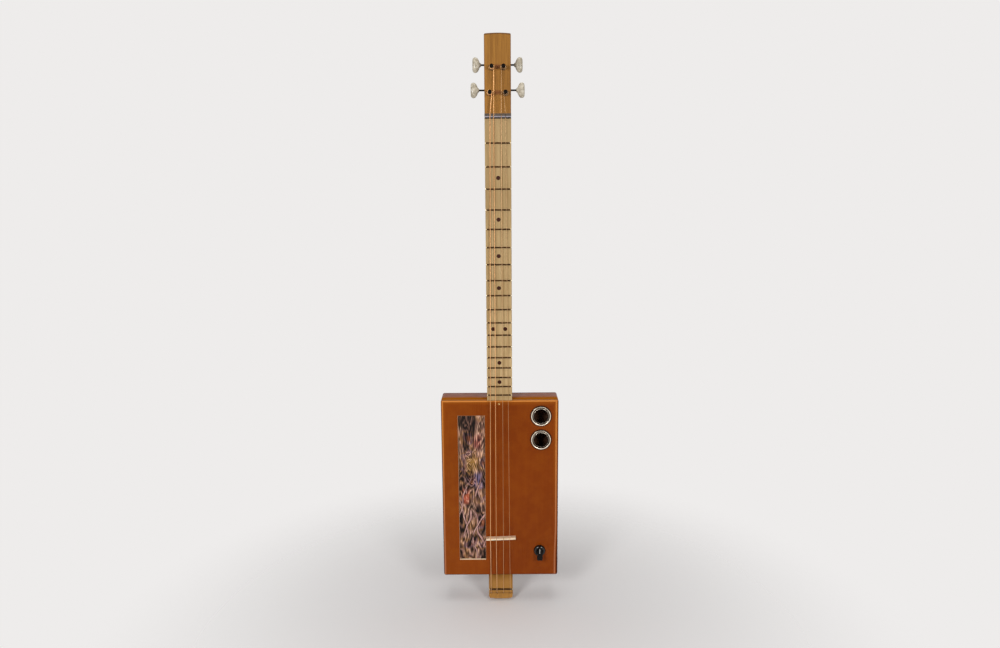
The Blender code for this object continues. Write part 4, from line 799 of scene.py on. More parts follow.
stain = {"Specular IOR Level": 0.15}
neck_wood = wood("amber maple", rgb(104, 62, 16), rgb(178, 124, 52), stain, heart=(60, 90), ring=5.0, lines=0.16, fine=0.3, rough=0.4)
neck_x, neck_y, neck_z = neck_wood.parts(neck_wood.place())
tail_light = (1 - neck_z.rising(BOX_BOTTOM - 16 * mm, BOX_BOTTOM)) * 0.35
neck_tone = neck_wood.mix(tail_light, neck_wood.tone, rgb(204, 152, 84))
# A dark red-brown patch on the front of the headstock between the posts of each pair.
between_posts = neck_z.near(LOWER_POST[1] + 1 * mm, 1 * mm, 5 * mm).most(neck_z.near(UPPER_POST[1] + 1 * mm, 1 * mm, 5 * mm))
between_posts = between_posts * neck_x.near(0.0, 2 * mm, 9 * mm) * (1 - neck_y.rising(NECK_FRONT + 1 * mm, NECK_FRONT + 2 * mm)) * 0.6
head_edge = (neck_z + neck_x * neck_x * (1.6 * mm / NECK_HALF**2)).rising(neck_high.z - 2.4 * mm, neck_high.z - 1.2 * mm)
# The neck's side edges are darkened as painted shade.
side_shade = neck_x.size().rising(NECK_HALF - 0.9 * mm, NECK_HALF - 0.2 * mm) * 0.35
string_rub = neck_z.near(TAIL_HOLES_Z + 0.5 * mm, 0.8 * mm, 1.8 * mm) * 0.35
neck_tone = neck_wood.mix((head_edge * 0.6).most(side_shade).most(string_rub), neck_tone, rgb(72, 42, 20))
neck_wood.colour(neck_wood.mix(between_posts, neck_tone, rgb(92, 34, 22)))
piece(cut("neck_stick", neck_shell(), *neck_cutters), neck_wood, replaces=("neck",))


def screw_head(centre, radius, rise, way):
    """A domed screw head that faces way along Y.

    Its height over the seat is the rise times 1 - (r/R)^3, less a cross-shaped recess with soft edges.
    """
    share = np.linspace(1, 0.001, 16)[:, None]
    turn = np.linspace(0, 2 * math.pi, 48, endpoint=False)[None, :]
    x, z = radius * share * np.cos(turn), radius * share * np.sin(turn)

    def slot(a, b):
        return np.clip(2 - np.abs(a) / (0.14 * radius), 0, 1) * np.clip(3 - np.abs(b) / (0.2 * radius), 0, 1)

    height = rise * (1 - share**3) - 0.7 * rise * np.maximum(slot(x, z), slot(z, x))
    grid = np.stack((x, way * height, z), axis=-1)
    foot = grid[:1] - (0, 0.3 * mm * way, 0)
    return skin(np.concatenate((foot, grid)) + np.array(centre))


# One small round-headed brass screw holds the lid to the neck, just below the fretboard.
screw_metal = metal("brass screw", rgb(150, 112, 62), rgb(214, 178, 118), 0.25)
lid_screw = screw_head((-0.9 * mm, LID_FRONT - 0.05 * mm, 141.0 * mm), 1.9 * mm, 0.9 * mm, -1)
piece(joined("lid_screw", lid_screw), screw_metal, sharp=60.0)

# The fretboard is bare pale maple, glued on the neck, with eighteen frets of wire pressed into sawn slots and
# filed off at their ends. The wire is painted dark as shade and reflection, and its ends bright as highlights.
# A dark line painted on the board just below the nut is its shadow, and the board is painted darker towards
# the nut as shade.
board_low, board_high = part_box("fretboard")
BOARD_FRONT, BOARD_EDGE_R = board_low.y, 0.8 * mm
fret_boxes = [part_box(f"fret_{number:02d}") for number in range(1, 19)]
FRET_PLACES = np.array([(low.z + high.z) / 2 for low, high in fret_boxes])


def across_neck(section, half, limit, edge):
    """A section of depths and heights carried across the neck, from one edge to the other.

    Near an edge no point stands in front of a limit that falls away as a quarter round does.
    """
    quarter = edge * (1 - np.sin(np.linspace(math.pi / 2, 0, 7)))
    x = np.concatenate((-half + quarter, half - quarter[::-1]))[:, None]
    depth, height = np.array(section).T[:, None, :]
    depth = np.maximum(depth, limit + fallen(np.abs(x) - half + edge, edge))
    return skin(np.stack((x + 0 * depth, depth, height + 0 * depth), axis=-1))


def wire_section(surface, z, width, top, tang):
    """Fret wire seen from its end: a crown that is half an ellipse, over a tang in its slot."""
    turn = np.linspace(0, math.pi, 13)
    crown = np.stack((surface - (surface - top) * np.sin(turn), z - width / 2 * np.cos(turn)), axis=-1)
    floor = surface + tang
    foot = [(surface, z + 0.25 * mm), (floor, z + 0.25 * mm), (floor, z - 0.25 * mm), (surface, z - 0.25 * mm)]
    return np.concatenate((crown, foot))


slot_cut = np.array([(0, 0.4), (1.9, 0.4), (1.9, -0.4), (0, -0.4)]) * mm
slots = np.stack((BOARD_FRONT + 0 * FRET_PLACES, FRET_PLACES), axis=-1)[:, None] + slot_cut
nut_end = [(board_high.y, board_high.z), (BOARD_FRONT, board_high.z)]
box_end = [(BOARD_FRONT, board_low.z), (board_high.y, board_low.z)]
board_side = np.concatenate((nut_end, slots.reshape(-1, 2), box_end))
board_wood = wood("pale maple", rgb(160, 127, 80), rgb(222, 192, 142), {"Specular IOR Level": 0.2}, heart=(-40, 60), ring=4.2, lines=0.3, fine=0.4, rough=0.5)
_, _, board_z = board_wood.parts(board_wood.place())
# A dark line just below the nut is the nut's painted shadow, and the upper board is painted darker as shade.
nut_shadow = board_z.near(nut_low.z - 0.9 * mm, 0.75 * mm, 0.95 * mm)
board_shade = board_z.rising(0.14, 0.50) * 0.5
board_tone = board_wood.mix(board_shade, board_wood.tone, rgb(142, 114, 68))
board_wood.colour(board_wood.mix(nut_shadow, board_tone, rgb(26, 22, 20)))
board_shell = across_neck(board_side, NECK_HALF, BOARD_FRONT, BOARD_EDGE_R)
piece(joined("fret_board", board_shell), board_wood, replaces=("fretboard",))
# The wire is coloured dark as painted shade and dark reflection; its filed ends are painted bright as highlights.
wire_metal = metal("shaded fret wire", rgb(40, 26, 16), rgb(82, 58, 36), 0.35)
wire_x, _, _ = wire_metal.parts(wire_metal.place())
end_highlight = wire_x.size().rising(NECK_HALF - 1.6 * mm, NECK_HALF - 1.1 * mm)
wire_metal.colour(wire_metal.mix(end_highlight, wire_metal.tone, rgb(226, 206, 168)))
for number, (low, high) in enumerate(fret_boxes, 1):
    section = wire_section(BOARD_FRONT, FRET_PLACES[number - 1], high.z - low.z, low.y, 1.6 * mm)
    wire = across_neck(section, high.x, low.y, 1.0 * mm)
    piece(joined(f"wire_{number:02d}", wire), wire_metal, replaces=(f"fret_{number:02d}",), sharp=50.0)

# A heavier piece of the same wire, pressed across the tail, lifts the strings clear of the box's edge.
low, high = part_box("tail_wire")
section = wire_section(NECK_FRONT, TAIL_WIRE_Z, high.z - low.z, low.y, 1.8 * mm)
wire = across_neck(section, high.x, low.y, 1.2 * mm)
piece(joined("tail_rest", wire), wire_metal, replaces=("tail_wire",), sharp=50.0)

# The place markers are walnut dowels, set in drilled holes in the fretboard and rubbed down with it.
MARKER_R, MARKER_PAIR_X = 3.2 * mm, 9.2 * mm
dowel = {"Specular IOR Level": 0.12}
dowel_wood = wood("walnut dowel", rgb(32, 12, 5), rgb(72, 32, 16), dowel, "Y", heart=(2, 9), ring=1.1, lines=0.4, rough=0.45)
fret_ends = np.append(nut_low.z, FRET_PLACES)
for marker, sides in ((3, (0,)), (5, (0,)), (7, (0,)), (9, (0,)), (12, (-1, 1)), (15, (0,)), (17, (0,))):
    marker_z = (fret_ends[marker] + fret_ends[marker - 1]) / 2
    for side in sides:
        dowel_top = BOARD_FRONT - 0.06 * mm
        dowel = [
            (0.05 * mm, dowel_top),
            (MARKER_R - 0.2 * mm, dowel_top),
            (MARKER_R, dowel_top + 0.1 * mm),
            (MARKER_R, BOARD_FRONT + 1 * mm),
        ]
        marker_name = f"marker_{marker:02d}" + {0: "", -1: "_left", 1: "_right"}[side]
        marker_shell = turned(dowel, (side * MARKER_PAIR_X, 0, marker_z))
        piece(joined(marker_name, marker_shell), dowel_wood, sharp=60.0)


def softened(corners, radius, steps=5):
    """A line of straight stretches with its corners rounded.

    Each corner B gives way to the curve (1-t)^2 A + 2t(1-t) B + t^2 C, where A and C lie a radius, or just
    under half a stretch, to either side of it.
    """
    line = np.array(corners, float)
    t = np.linspace(0, 1, steps)[None, :, None]

    def beside(way):
        length = np.linalg.norm(way, axis=1, keepdims=True)
        return (line[1:-1] + way / length * np.minimum(radius, 0.45 * length))[:, None]

    before, after = beside(line[:-2] - line[1:-1]), beside(line[2:] - line[1:-1])
    curves = (1 - t) ** 2 * before + 2 * t * (1 - t) * line[1:-1, None] + t**2 * after
    return np.concatenate((line[:1], curves.reshape(-1, line.shape[1]), line[-1:]))


def slotted(low_x, high_x, base, top, foot, crown, z, slant, places, edge=0.6 * mm):
    """A bar under the strings, its section carried along X: foot thick at the base and crown at the top.

    Near an end the section draws in as a quarter round does. Under each string the top is cut down to a
    notch with a round floor and steep sides.
    """
    section = softened([(-foot / 2, base), (-crown / 2, top), (crown / 2, top), (foot / 2, base)], edge)
    across, depth = section.T[:, None, :]
    quarter = edge * (1 - np.sin(np.linspace(math.pi / 2, 0, 6)))
    notch_x = np.concatenate([x + radius * np.linspace(-1.5, 1.5, 25) for x, radius, _ in places])
    x = np.concatenate((low_x + quarter, notch_x, np.linspace(low_x + edge, high_x - edge, 30)[1:-1], high_x - quarter))
    x = np.sort(x)[:, None]
    inset = fallen(edge - np.minimum(x - low_x, high_x - x), edge)
    limit = top + inset
    for place, radius, underside in places:
        away = np.abs(x - place)
        floor = underside - radius + np.sqrt(radius**2 - np.minimum(away, radius) ** 2)
        limit = np.maximum(limit, floor - np.maximum(away - radius, 0) * 12)
    depth = np.maximum(depth, limit)
    across = across * (1 - inset / (foot / 2))
    return skin(np.stack((x + 0 * depth, depth, z + x * slant + across), axis=-1))


# The nut is a bar of grey composite, glued between fretboard and headstock, with a notch for each string.
# Its upper half is painted darker as shade and its lower half paler as light.
STRING_RADII = (0.21 * mm, 0.31 * mm, 0.41 * mm, 0.53 * mm)
UNDER_NUT, UNDER_BRIDGE, UNDER_TAIL = -50.75 * mm, -54.75 * mm, -44.918 * mm
NUT_PLACES = (11.1 * mm, 5.0 * mm, -6.0 * mm, -11.4 * mm)
nut_thick, nut_middle = nut_high.z - nut_low.z, (nut_low.z + nut_high.z) / 2
nut_notches = [(x, radius + 0.03 * mm, UNDER_NUT + 0.02 * mm) for x, radius in zip(NUT_PLACES, STRING_RADII)]
nut_shell = slotted(-NECK_HALF, NECK_HALF, NECK_FRONT, nut_low.y, nut_thick, nut_thick, nut_middle, 0.0, nut_notches)
nut_stuff = Finish("grey composite", {"Specular IOR Level": 0.25})
_, _, nut_z = nut_stuff.parts(nut_stuff.place())
nut_speckle = nut_stuff.noise(nut_stuff.place(), 900.0, 3.0, 0.6)
# A shaded and a lit copy of the grey: darker above as painted shade, paler below as painted light.
nut_shaded = nut_stuff.mix(nut_speckle.rising(0.3, 0.7), rgb(58, 48, 42), rgb(98, 84, 72))
nut_lit = nut_stuff.mix(nut_speckle.rising(0.3, 0.7), rgb(132, 124, 128), rgb(170, 162, 168))
nut_stuff.colour(nut_stuff.mix(nut_z.rising(nut_middle - 1.3 * mm, nut_middle - 0.6 * mm), nut_lit, nut_shaded))
nut_stuff.roughness(0.35 + 0.3 * nut_speckle)
nut_stuff.bump(nut_speckle, 0.02 * mm)
piece(joined("composite_nut", nut_shell), nut_stuff, replaces=("nut",))

# The bridge is a bar of bone with rounded edges, a little thicker at its foot. It stands on the lid, slightly
# aslant, and only the strings hold it.
BRIDGE_Z, BRIDGE_SLANT = BOX_BOTTOM + 65.6 * mm, math.tan(math.radians(1.8))
BRIDGE_PLACES = (14.6 * mm, 4.6 * mm, -6.8 * mm, -16.0 * mm)
bridge_low, bridge_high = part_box("bridge")
bridge_notches = [(x, radius + 0.03 * mm, UNDER_BRIDGE + 0.02 * mm) for x, radius in zip(BRIDGE_PLACES, STRING_RADII)]
bridge_ends = (bridge_low.x, bridge_high.x, LID_FRONT, bridge_low.y)
bridge_shell = slotted(*bridge_ends, 3.6 * mm, 2.6 * mm, BRIDGE_Z, BRIDGE_SLANT, bridge_notches)
bone = Finish("bone", {"Specular IOR Level": 0.35, "Subsurface Weight": 0.1, "Subsurface Scale": 0.002})
bone_grain = bone.noise(bone.stretched((0.12, 1.0, 1.0)), 700.0, 3.0, 0.6)
bone_cloud = bone.noise(bone.place(), 90.0, 2.0)
bone_tone = bone.mix(bone_grain.rising(0.3, 0.7) * 0.6 + bone_cloud * 0.4, rgb(226, 192, 156), rgb(255, 234, 204))
_, bone_y, _ = bone.parts(bone.place())
# Below the top the sides are darkened as painted shade, more in streaks that follow the grain.
bone_side_shade = bone_y.rising(bridge_low.y + 0.6 * mm, bridge_low.y + 1.6 * mm) * (0.25 + 0.5 * bone_grain.rising(0.5, 0.62))
bone.colour(bone.mix(bone_side_shade, bone_tone, rgb(150, 112, 80)))
bone.roughness(0.32 + 0.25 * bone_grain)
bone.bump(bone_grain, 0.02 * mm)
piece(joined("bone_bridge", bridge_shell), bone, replaces=("bridge",))


def tube(path, radius, sides=12):
    """A round tube: at each point of a path a ring square to the way there.

    The ring's first axis is the way crossed with Y, or X where the way runs along Y, and the second is the
    way crossed with the first.
    """
    way = np.gradient(path, axis=0)
    way /= np.linalg.norm(way, axis=1, keepdims=True)
    first = np.cross(way, (0.0, 1.0, 0.0))
    length = np.linalg.norm(first, axis=1, keepdims=True)
    first = np.where(length > 0.02, first / np.maximum(length, 0.02), (1.0, 0.0, 0.0))
    second = np.cross(way, first)
    turn = np.linspace(0, 2 * math.pi, sides, endpoint=False)[None, :, None]
    return skin(path[:, None] + radius * (np.cos(turn) * first[:, None] + np.sin(turn) * second[:, None]))


# Four strings, two of plain steel and two wound in bronze. Each runs from its ball end behind the tail over
# bridge and nut, three times round its post and through it. The wound end is a piece that turns with the post.
POST_WAIST_R, POST_HOLE_Y, WRAPS, WRAP_PAST = 2.6 * mm, -54.2 * mm, 3.0, 15 / 360
LOWEST_WRAP = NECK_FRONT - 3.7 * mm


def string_paths(number):
    """The middle lines of a string: its end from the post's hole to the last wrap, and from there to its ball.

    The wraps are a helix, which the string leaves where a line from the nut touches the post's round, and
    which goes on a little past that place. After the third wrap the helix climbs to the post's hole, and the
    end goes through it.
    """
    side, post_x, post_z = POSTS[number]
    radius, nut_x, tail_x, bridge_x = (row[number] for row in (STRING_RADII, NUT_PLACES, TAIL_PLACES, BRIDGE_PLACES))
    centre_x, wrap_r = side * post_x, POST_WAIST_R + 0.05 * mm + radius
    over, down = nut_x - centre_x, nut_high.z - post_z
    leaving = math.atan2(down, over) - side * math.acos(wrap_r / math.hypot(over, down))
    count = WRAPS + 0.25 + ((side * leaving / math.pi - 2 * WRAPS - 0.5) % 1) / 2
    wrap = np.append(np.linspace(count, 0, 190), -WRAP_PAST)
    turn = leaving - side * 2 * math.pi * wrap
    level = LOWEST_WRAP - (2 * radius + 0.2 * mm) * np.minimum(wrap, WRAPS)
    level += (POST_HOLE_Y - level[0]) * eased((wrap - WRAPS) / (count - WRAPS))
    leave = np.array((centre_x + wrap_r * math.cos(leaving), LOWEST_WRAP, post_z + wrap_r * math.sin(leaving)))
    helix = np.stack((centre_x + wrap_r * np.cos(turn), level, post_z + wrap_r * np.sin(turn)), axis=-1)
    bore_way = math.copysign(1, math.cos(turn[0]))
    stub = np.array([(centre_x - bore_way * (POST_WAIST_R + 2 * mm), POST_HOLE_Y, post_z), helix[0]])
    bridge_z = BRIDGE_Z + bridge_x * BRIDGE_SLANT
    bend = np.linspace(0, math.pi / 2, 7)
    speaking = [
        (nut_x, UNDER_NUT - radius, nut_high.z - 0.7 * mm),
        (nut_x, UNDER_NUT - radius, nut_low.z),
        (bridge_x, UNDER_BRIDGE - radius, bridge_z + 0.7 * mm),
        (bridge_x, UNDER_BRIDGE - radius, bridge_z - 0.7 * mm),
        (tail_x, UNDER_TAIL - radius, TAIL_WIRE_Z + 0.7 * mm),
        (tail_x, UNDER_TAIL - radius, TAIL_WIRE_Z - 0.7 * mm),
    ]
    into_tail = np.stack(
        (
            tail_x + 0 * bend,
            NECK_FRONT - 1.2 * mm * np.cos(bend),
            TAIL_HOLES_Z + 1.2 * mm * (1 - np.sin(bend)),
        ),
        axis=-1,
    )
    running = np.concatenate((leave[None], speaking, into_tail, [(tail_x, NECK_BACK - 3.4 * mm, TAIL_HOLES_Z)]))
    return np.concatenate((stub[:1], helix)), running


def ball_end(x):
    """The small turned ball that stops a string in its hole, with a groove round its middle."""
    back = NECK_BACK - 0.3 * mm
    ball = [(0.05, -3.0), (1.45, -3.0), (1.75, -2.7), (1.75, -2.0), (1.35, -1.7), (1.35, -1.3), (1.75, -1.0), (1.75, -0.3), (1.45, 0), (0.05, 0)]
    return turned(np.array(ball) * mm + (0, back), (x, 0, TAIL_HOLES_Z), 1, 24)


plain_wire = metal("plain steel wire", rgb(156, 122, 88), rgb(204, 164, 122), 0.45, 0.02)
wound_wire = metal("bronze winding", rgb(182, 134, 90), rgb(242, 188, 132), 0.45, 0.02)
for wire_finish in (plain_wire, wound_wire):
    _, _, wire_z = wire_finish.parts(wire_finish.place())
    # Below the bridge the wire is painted lighter as a highlight.
    below_bridge_highlight = 1 - wire_z.rising(BRIDGE_Z - 4 * mm, BRIDGE_Z)
    wire_finish.colour(wire_finish.mix(below_bridge_highlight * 0.5, wire_finish.tone, rgb(255, 214, 170)))
wound_wire.bump((wire_z * (2 * math.pi / (0.45 * mm))).wave() * 0.5 + 0.5, 0.03 * mm)
for number, wire_finish in enumerate((plain_wire, plain_wire, wound_wire, wound_wire)):
    wound_path, running_path = string_paths(number)
    slot_name = "plain_string" if number < 2 else "bronze_string"
    mesh = joined(f"wire_string_{number + 1}", tube(running_path, STRING_RADII[number]), ball_end(TAIL_PLACES[number]))
    piece(mesh, wire_finish, replaces=(f"string_{number + 1}",), sharp=60.0)
    wound_mesh = joined(f"string_wraps_{number + 1}", tube(wound_path, STRING_RADII[number]))
    piece(wound_mesh, wire_finish, f"post_{number + 1}", sharp=60.0)

# Each of the four open tuners has a flanged nickel bushing in the headstock's front. A plate screwed to its
# back has two ears that hold the worm shaft. All of these are plated brass.
TUNER_BORE_R, PLATE_BACK, PLATE_HALF, PLATE_BELOW, PLATE_ABOVE = 3.3 * mm, -26.4 * mm, 6.35 * mm, 11.0 * mm, 15.3 * mm
EAR_INNER, EAR_OUTER, EAR_HALF, EAR_BORE_R = 4.75 * mm, 5.95 * mm, 3.0 * mm, 1.6 * mm
WORM_Y, WORM_UP = -23.4 * mm, 6.26 * mm


def plate(x, z, edge=0.3 * mm):
    """The plate, with a round corner at each end and its back edge broken by a quarter round."""
    turn = np.linspace(0, math.pi / 2, 4)
    insets = np.append(0, edge * (1 - np.cos(turn)))
    depths = np.append(HEAD_BACK + 0.02 * mm, PLATE_BACK - edge * (1 - np.sin(turn)))
    size = (x - PLATE_HALF, x + PLATE_HALF, z - PLATE_BELOW, z + PLATE_ABOVE, 3.0 * mm)
    rim = [at_depth(round_cornered(*size, inset), depth) for inset, depth in zip(insets, depths)]
    bore = [at_depth(circle(x, z, TUNER_BORE_R), depth) for depth in (depths[0], depths[-1])]
    return board(np.stack(rim), np.stack(bore))


def ear(low, z, edge=0.2 * mm):
    """An ear of the plate, seen along X a half round on straight sides, with the worm shaft's bore."""
    turn = np.linspace(0, math.pi, 25)
    rows = ((low, edge), (low + edge, 0), (low + EAR_OUTER - EAR_INNER - edge, 0), (low + EAR_OUTER - EAR_INNER, edge))
    rim = []
    for x, inset in rows:
        reach = EAR_HALF - inset
        arc = np.stack((WORM_Y + reach * np.sin(turn), z + reach * np.cos(turn)), axis=-1)
        foot = [(PLATE_BACK - 0.5 * mm, z - reach), (PLATE_BACK - 0.5 * mm, z + reach)]
        rim.append(at_depth(np.concatenate((arc, foot)), x, 0))
    bore = [at_depth(circle(WORM_Y, z, EAR_BORE_R), x, 0) for x in (rows[0][0], rows[-1][0])]
    return board(np.stack(rim), np.stack(bore))


tuner_nickel = metal("tuner nickel", rgb(142, 134, 122), rgb(196, 188, 174), 0.24)
bushing_metal = metal("worn bushing", rgb(96, 68, 40), rgb(140, 106, 66), 0.35)
bushing_x, _, bushing_z = bushing_metal.parts(bushing_metal.place())


def from_post(place):
    """The distance from the axes of a pair of posts."""
    across, up = bushing_x.size() - place[0], bushing_z - place[1]
    return (across * across + up * up) ** 0.5


# A bright ring round each bushing's bore is a painted highlight.
bushing_lip_highlight = 1 - from_post(LOWER_POST).least(from_post(UPPER_POST)).rising(3.5 * mm, 3.9 * mm)
bushing_metal.colour(bushing_metal.mix(bushing_lip_highlight, bushing_metal.tone, rgb(186, 172, 150)))
for number, (side, post_x, post_z) in enumerate(POSTS, 1):
    x, worm_z = side * post_x, post_z + WORM_UP
    flange = [(3.3, -36.7), (3.3, -44.0), (4.6, -44.0), (4.6, -42.72), (4.1, -42.72), (4.1, -36.7)]
    bushing_shell = turned(softened(np.array(flange) * mm, 0.4 * mm), (x, 0, post_z), 1, 48, True)
    bushing_mesh = joined(f"bushing_{number}", bushing_shell)
    piece(bushing_mesh, bushing_metal, replaces=(f"tuner_{number}_bushing",), sharp=50.0)
    screws = [screw_head((x, PLATE_BACK, post_z + up), 2.0 * mm, 0.8 * mm, 1) for up in (-8.0 * mm, 12.3 * mm)]
    plate_parts = (plate(x, post_z), ear(x - EAR_OUTER, worm_z), ear(x + EAR_INNER, worm_z), *screws)
    plate_mesh = joined(f"tuner_plate_{number}", *plate_parts)
    piece(plate_mesh, tuner_nickel, replaces=(f"tuner_{number}_plate",))

# A blackened steel post turns in each bushing. It is waisted where the string winds on it, and has a cross
# hole for the string's end. A small screw holds the brass gear on its back.
GEAR_TEETH, GEAR_FACE, GEAR_ROOT_R, GEAR_TIP_R = 14, 3.4 * mm, 3.41 * mm, 4.56 * mm
GEAR_LEAN = 32.47


def gear(x, z, break_edge=0.15 * mm):
    """The gear: for each tooth seven points round it, on its flanks, tip and root, carried along Y.

    A tooth's middle lies at half a pitch past the last one, and leans with Y as the worm's thread does. At
    both faces the tips are broken by a small bevel.
    """
    middle = 2 * math.pi * (np.arange(GEAR_TEETH) + 0.5) / GEAR_TEETH
    root, tip = 0.525 * mm / GEAR_ROOT_R, 0.19 * mm / GEAR_TIP_R
    beside = np.array((-math.pi / GEAR_TEETH, -root, -(root + tip) / 2, -tip, tip, (root + tip) / 2, root))
    reach = np.array((0, 0, 0.5, 1, 1, 0.5, 0)) * (GEAR_TIP_R - GEAR_ROOT_R)
    half = GEAR_FACE / 2
    y = np.array((-half, -half, break_edge - half, half - break_edge, half, half))[:, None]
    bevel = np.array((0, 1, 0, 0, 1, 0))[:, None] * break_edge
    turn = (middle[:, None] + beside[None, :]).reshape(1, -1) + GEAR_LEAN * y
    radius = GEAR_ROOT_R + np.tile(reach, GEAR_TEETH)[None, :] - bevel
    radius = np.where((np.arange(6) % 5 == 0)[:, None], 1.5 * mm, radius)
    return skin(np.stack((x + radius * np.sin(turn), WORM_Y + y + 0 * turn, z + radius * np.cos(turn)), axis=-1))


black_steel = metal("blackened steel", rgb(9, 8, 7), rgb(28, 24, 21), 0.3)
gear_brass = metal("gear brass", rgb(142, 104, 50), rgb(196, 156, 92), 0.3)
post_line = [
    (0.01, -57.7),
    (3.0, -57.7),
    (3.0, -55.1),
    (2.6, -55.1),
    (2.6, -44.8),
    (3.0, -44.8),
    (3.0, -24.0),
    (2.5, -24.0),
    (2.5, -20.9),
    (0.01, -20.9),
]
for number, (side, post_x, post_z) in enumerate(POSTS, 1):
    x, body = side * post_x, f"post_{number}"
    post_shell = turned(softened(np.array(post_line) * mm, 0.6 * mm), (x, 0, post_z))
    bit = [(0.01 * mm, x - 4 * mm), (0.8 * mm, x - 4 * mm), (0.8 * mm, x + 4 * mm), (0.01 * mm, x + 4 * mm)]
    post_mesh = cut(f"string_post_{number}", post_shell, turned(bit, (0, POST_HOLE_Y, post_z), 0))
    piece(post_mesh, black_steel, body, (f"tuner_{number}_post",))
    gear_screw = screw_head((x, -20.95 * mm, post_z), 2.0 * mm, 0.6 * mm, 1)
    piece(joined(f"gear_{number}", gear(x, post_z), gear_screw), gear_brass, body)

# A worm shaft of the same steel runs in the ears of each plate and drives the gear. A pearloid button, round
# ended and flared from a collar, is pressed on its outer end.
WORM_LEAD, WORM_R, WORM_ROOT_R, WORM_HALF, SHAFT_R = 1.8221 * mm, 2.7 * mm, 1.55 * mm, 3.6442 * mm, 1.3 * mm
BUTTON_FROM, BUTTON_LENGTH, BUTTON_HALF_HIGH, BUTTON_HALF_THICK = 15.9 * mm, 12.7 * mm, 11.2 * mm, 3.4 * mm


def worm(side, x, z):
    """The shaft, with a right-hand thread in its middle.

    At a place a along the shaft and a turn t round it, the thread's middle is as far off as the part of
    a / lead - (t + 90 degrees) / 360 beyond the nearest whole number. The radius falls from tip to root over
    that distance, and fades to the root at the thread's ends.
    """
    turn = np.linspace(0, 2 * math.pi, 36, endpoint=False)[None, :]
    threaded = np.linspace(-4.45 * mm, 4.45 * mm, 130)
    inner = np.array([(-6.95, 0.02), (-6.95, 1.6), (-6.7, 1.9), (-6.25, 1.9), (-6.25, 1.3), (-4.45, 1.3)]) * mm
    outer = np.array([(4.45, 1.3), (21.6, 1.3), (21.6, 0.02)]) * mm
    along = np.concatenate((inner[:, 0], threaded, outer[:, 0]))[:, None] * side
    plain = np.concatenate((inner[:, 1], WORM_ROOT_R + 0 * threaded, outer[:, 1]))[:, None]
    phase = along / WORM_LEAD - (turn + math.pi / 2) / (2 * math.pi)
    away = np.abs(phase - np.round(phase)) * WORM_LEAD
    height = np.clip((0.6066 * mm - away) / (0.4186 * mm), 0, 1)
    height = height * np.clip((WORM_HALF - np.abs(along)) / (WORM_LEAD / 2), 0, 1)
    radius = plain + (WORM_R - WORM_ROOT_R) * height
    grid = (x + along + 0 * turn, WORM_Y + radius * np.cos(turn), z + radius * np.sin(turn))
    return skin(np.stack(grid, axis=-1))


def button(side, x, z):
    """The button: ellipses along the shaft, as high and thick as a softened line through its stations."""
    stations = [
        (6.0, 0.05, 0.05),
        (6.0, 1.6, 1.6),
        (0.0, 1.6, 1.6),
        (0.0, 2.7, 2.7),
        (1.65, 3.0, 3.0),
        (3.05, 6.7, 3.13),
        (4.8, 9.6, 3.33),
        (7.1, 11.1, 3.4),
        (9.4, 11.2, 3.26),
        (11.4, 10.2, 2.65),
        (12.5, 7.6, 1.65),
        (12.7, 0.05, 0.05),
    ]
    along, high, thick = softened(np.array(stations) * mm, 1.0 * mm, 4).T[:, :, None]
    turn = np.linspace(0, 2 * math.pi, 40, endpoint=False)[None, :]
    grid = (x + side * (BUTTON_FROM + along) + 0 * turn, WORM_Y + thick * np.cos(turn), z + high * np.sin(turn))
    return skin(np.stack(grid, axis=-1))


pearl = Finish("pearloid", {"Specular IOR Level": 0.35, "Coat Weight": 0.15, "Coat Roughness": 0.1})
pearl_bend = pearl.node("ShaderNodeTexNoise", {}, {"Vector": pearl.place(), "Scale": 260.0, "Detail": 2.0}, 1)
pearl_pull = pearl.node("ShaderNodeVectorMath", {"operation": "SCALE"}, {0: pearl_bend, "Scale": 0.004})
pearl_bent = pearl.node("ShaderNodeVectorMath", {"operation": "ADD"}, {0: pearl.place(), 1: pearl_pull})
pearl_cells = pearl.node("ShaderNodeTexVoronoi", {}, {"Vector": pearl_bent, "Scale": 330.0}, 1)
pearl_share = pearl.parts(pearl_cells)[0]
pearl_tone = pearl.mix(pearl_share, rgb(160, 150, 130), rgb(204, 194, 174))
pearl_x, _, _ = pearl.parts(pearl.place())
pearl_collar = 1 - (pearl_x.size() - 24.5 * mm).rising(1.0 * mm, 5.0 * mm)
pearl.colour(pearl.mix(pearl_collar * 0.5, pearl_tone, rgb(110, 96, 78)))
pearl.roughness(0.26 + 0.2 * pearl_share)
pearl.bump(pearl.noise(pearl.place(), 300.0, 2.0), 0.03 * mm)
for number, (side, post_x, post_z) in enumerate(POSTS, 1):
    x, worm_z, body = side * post_x, post_z + WORM_UP, f"key_{number}"
    worm_mesh = joined(f"worm_shaft_{number}", worm(side, x, worm_z))
    piece(worm_mesh, black_steel, body, (f"tuner_{number}_worm",), 50.0)
    button_mesh = joined(f"button_{number}", button(side, x, worm_z))
    piece(button_mesh, pearl, body, (f"tuner_{number}_button",), 60.0)

# The volume control is clamped through the lid: a can with its works behind, and a threaded bushing with a
# washer and a hexagon nut in front.
POT_BUSHING_R, POT_BORE_R, POT_CAN_R, POT_END, POT_BACK = 3.95 * mm, 3.3 * mm, 8.0 * mm, -50.3 * mm, -33.2 * mm


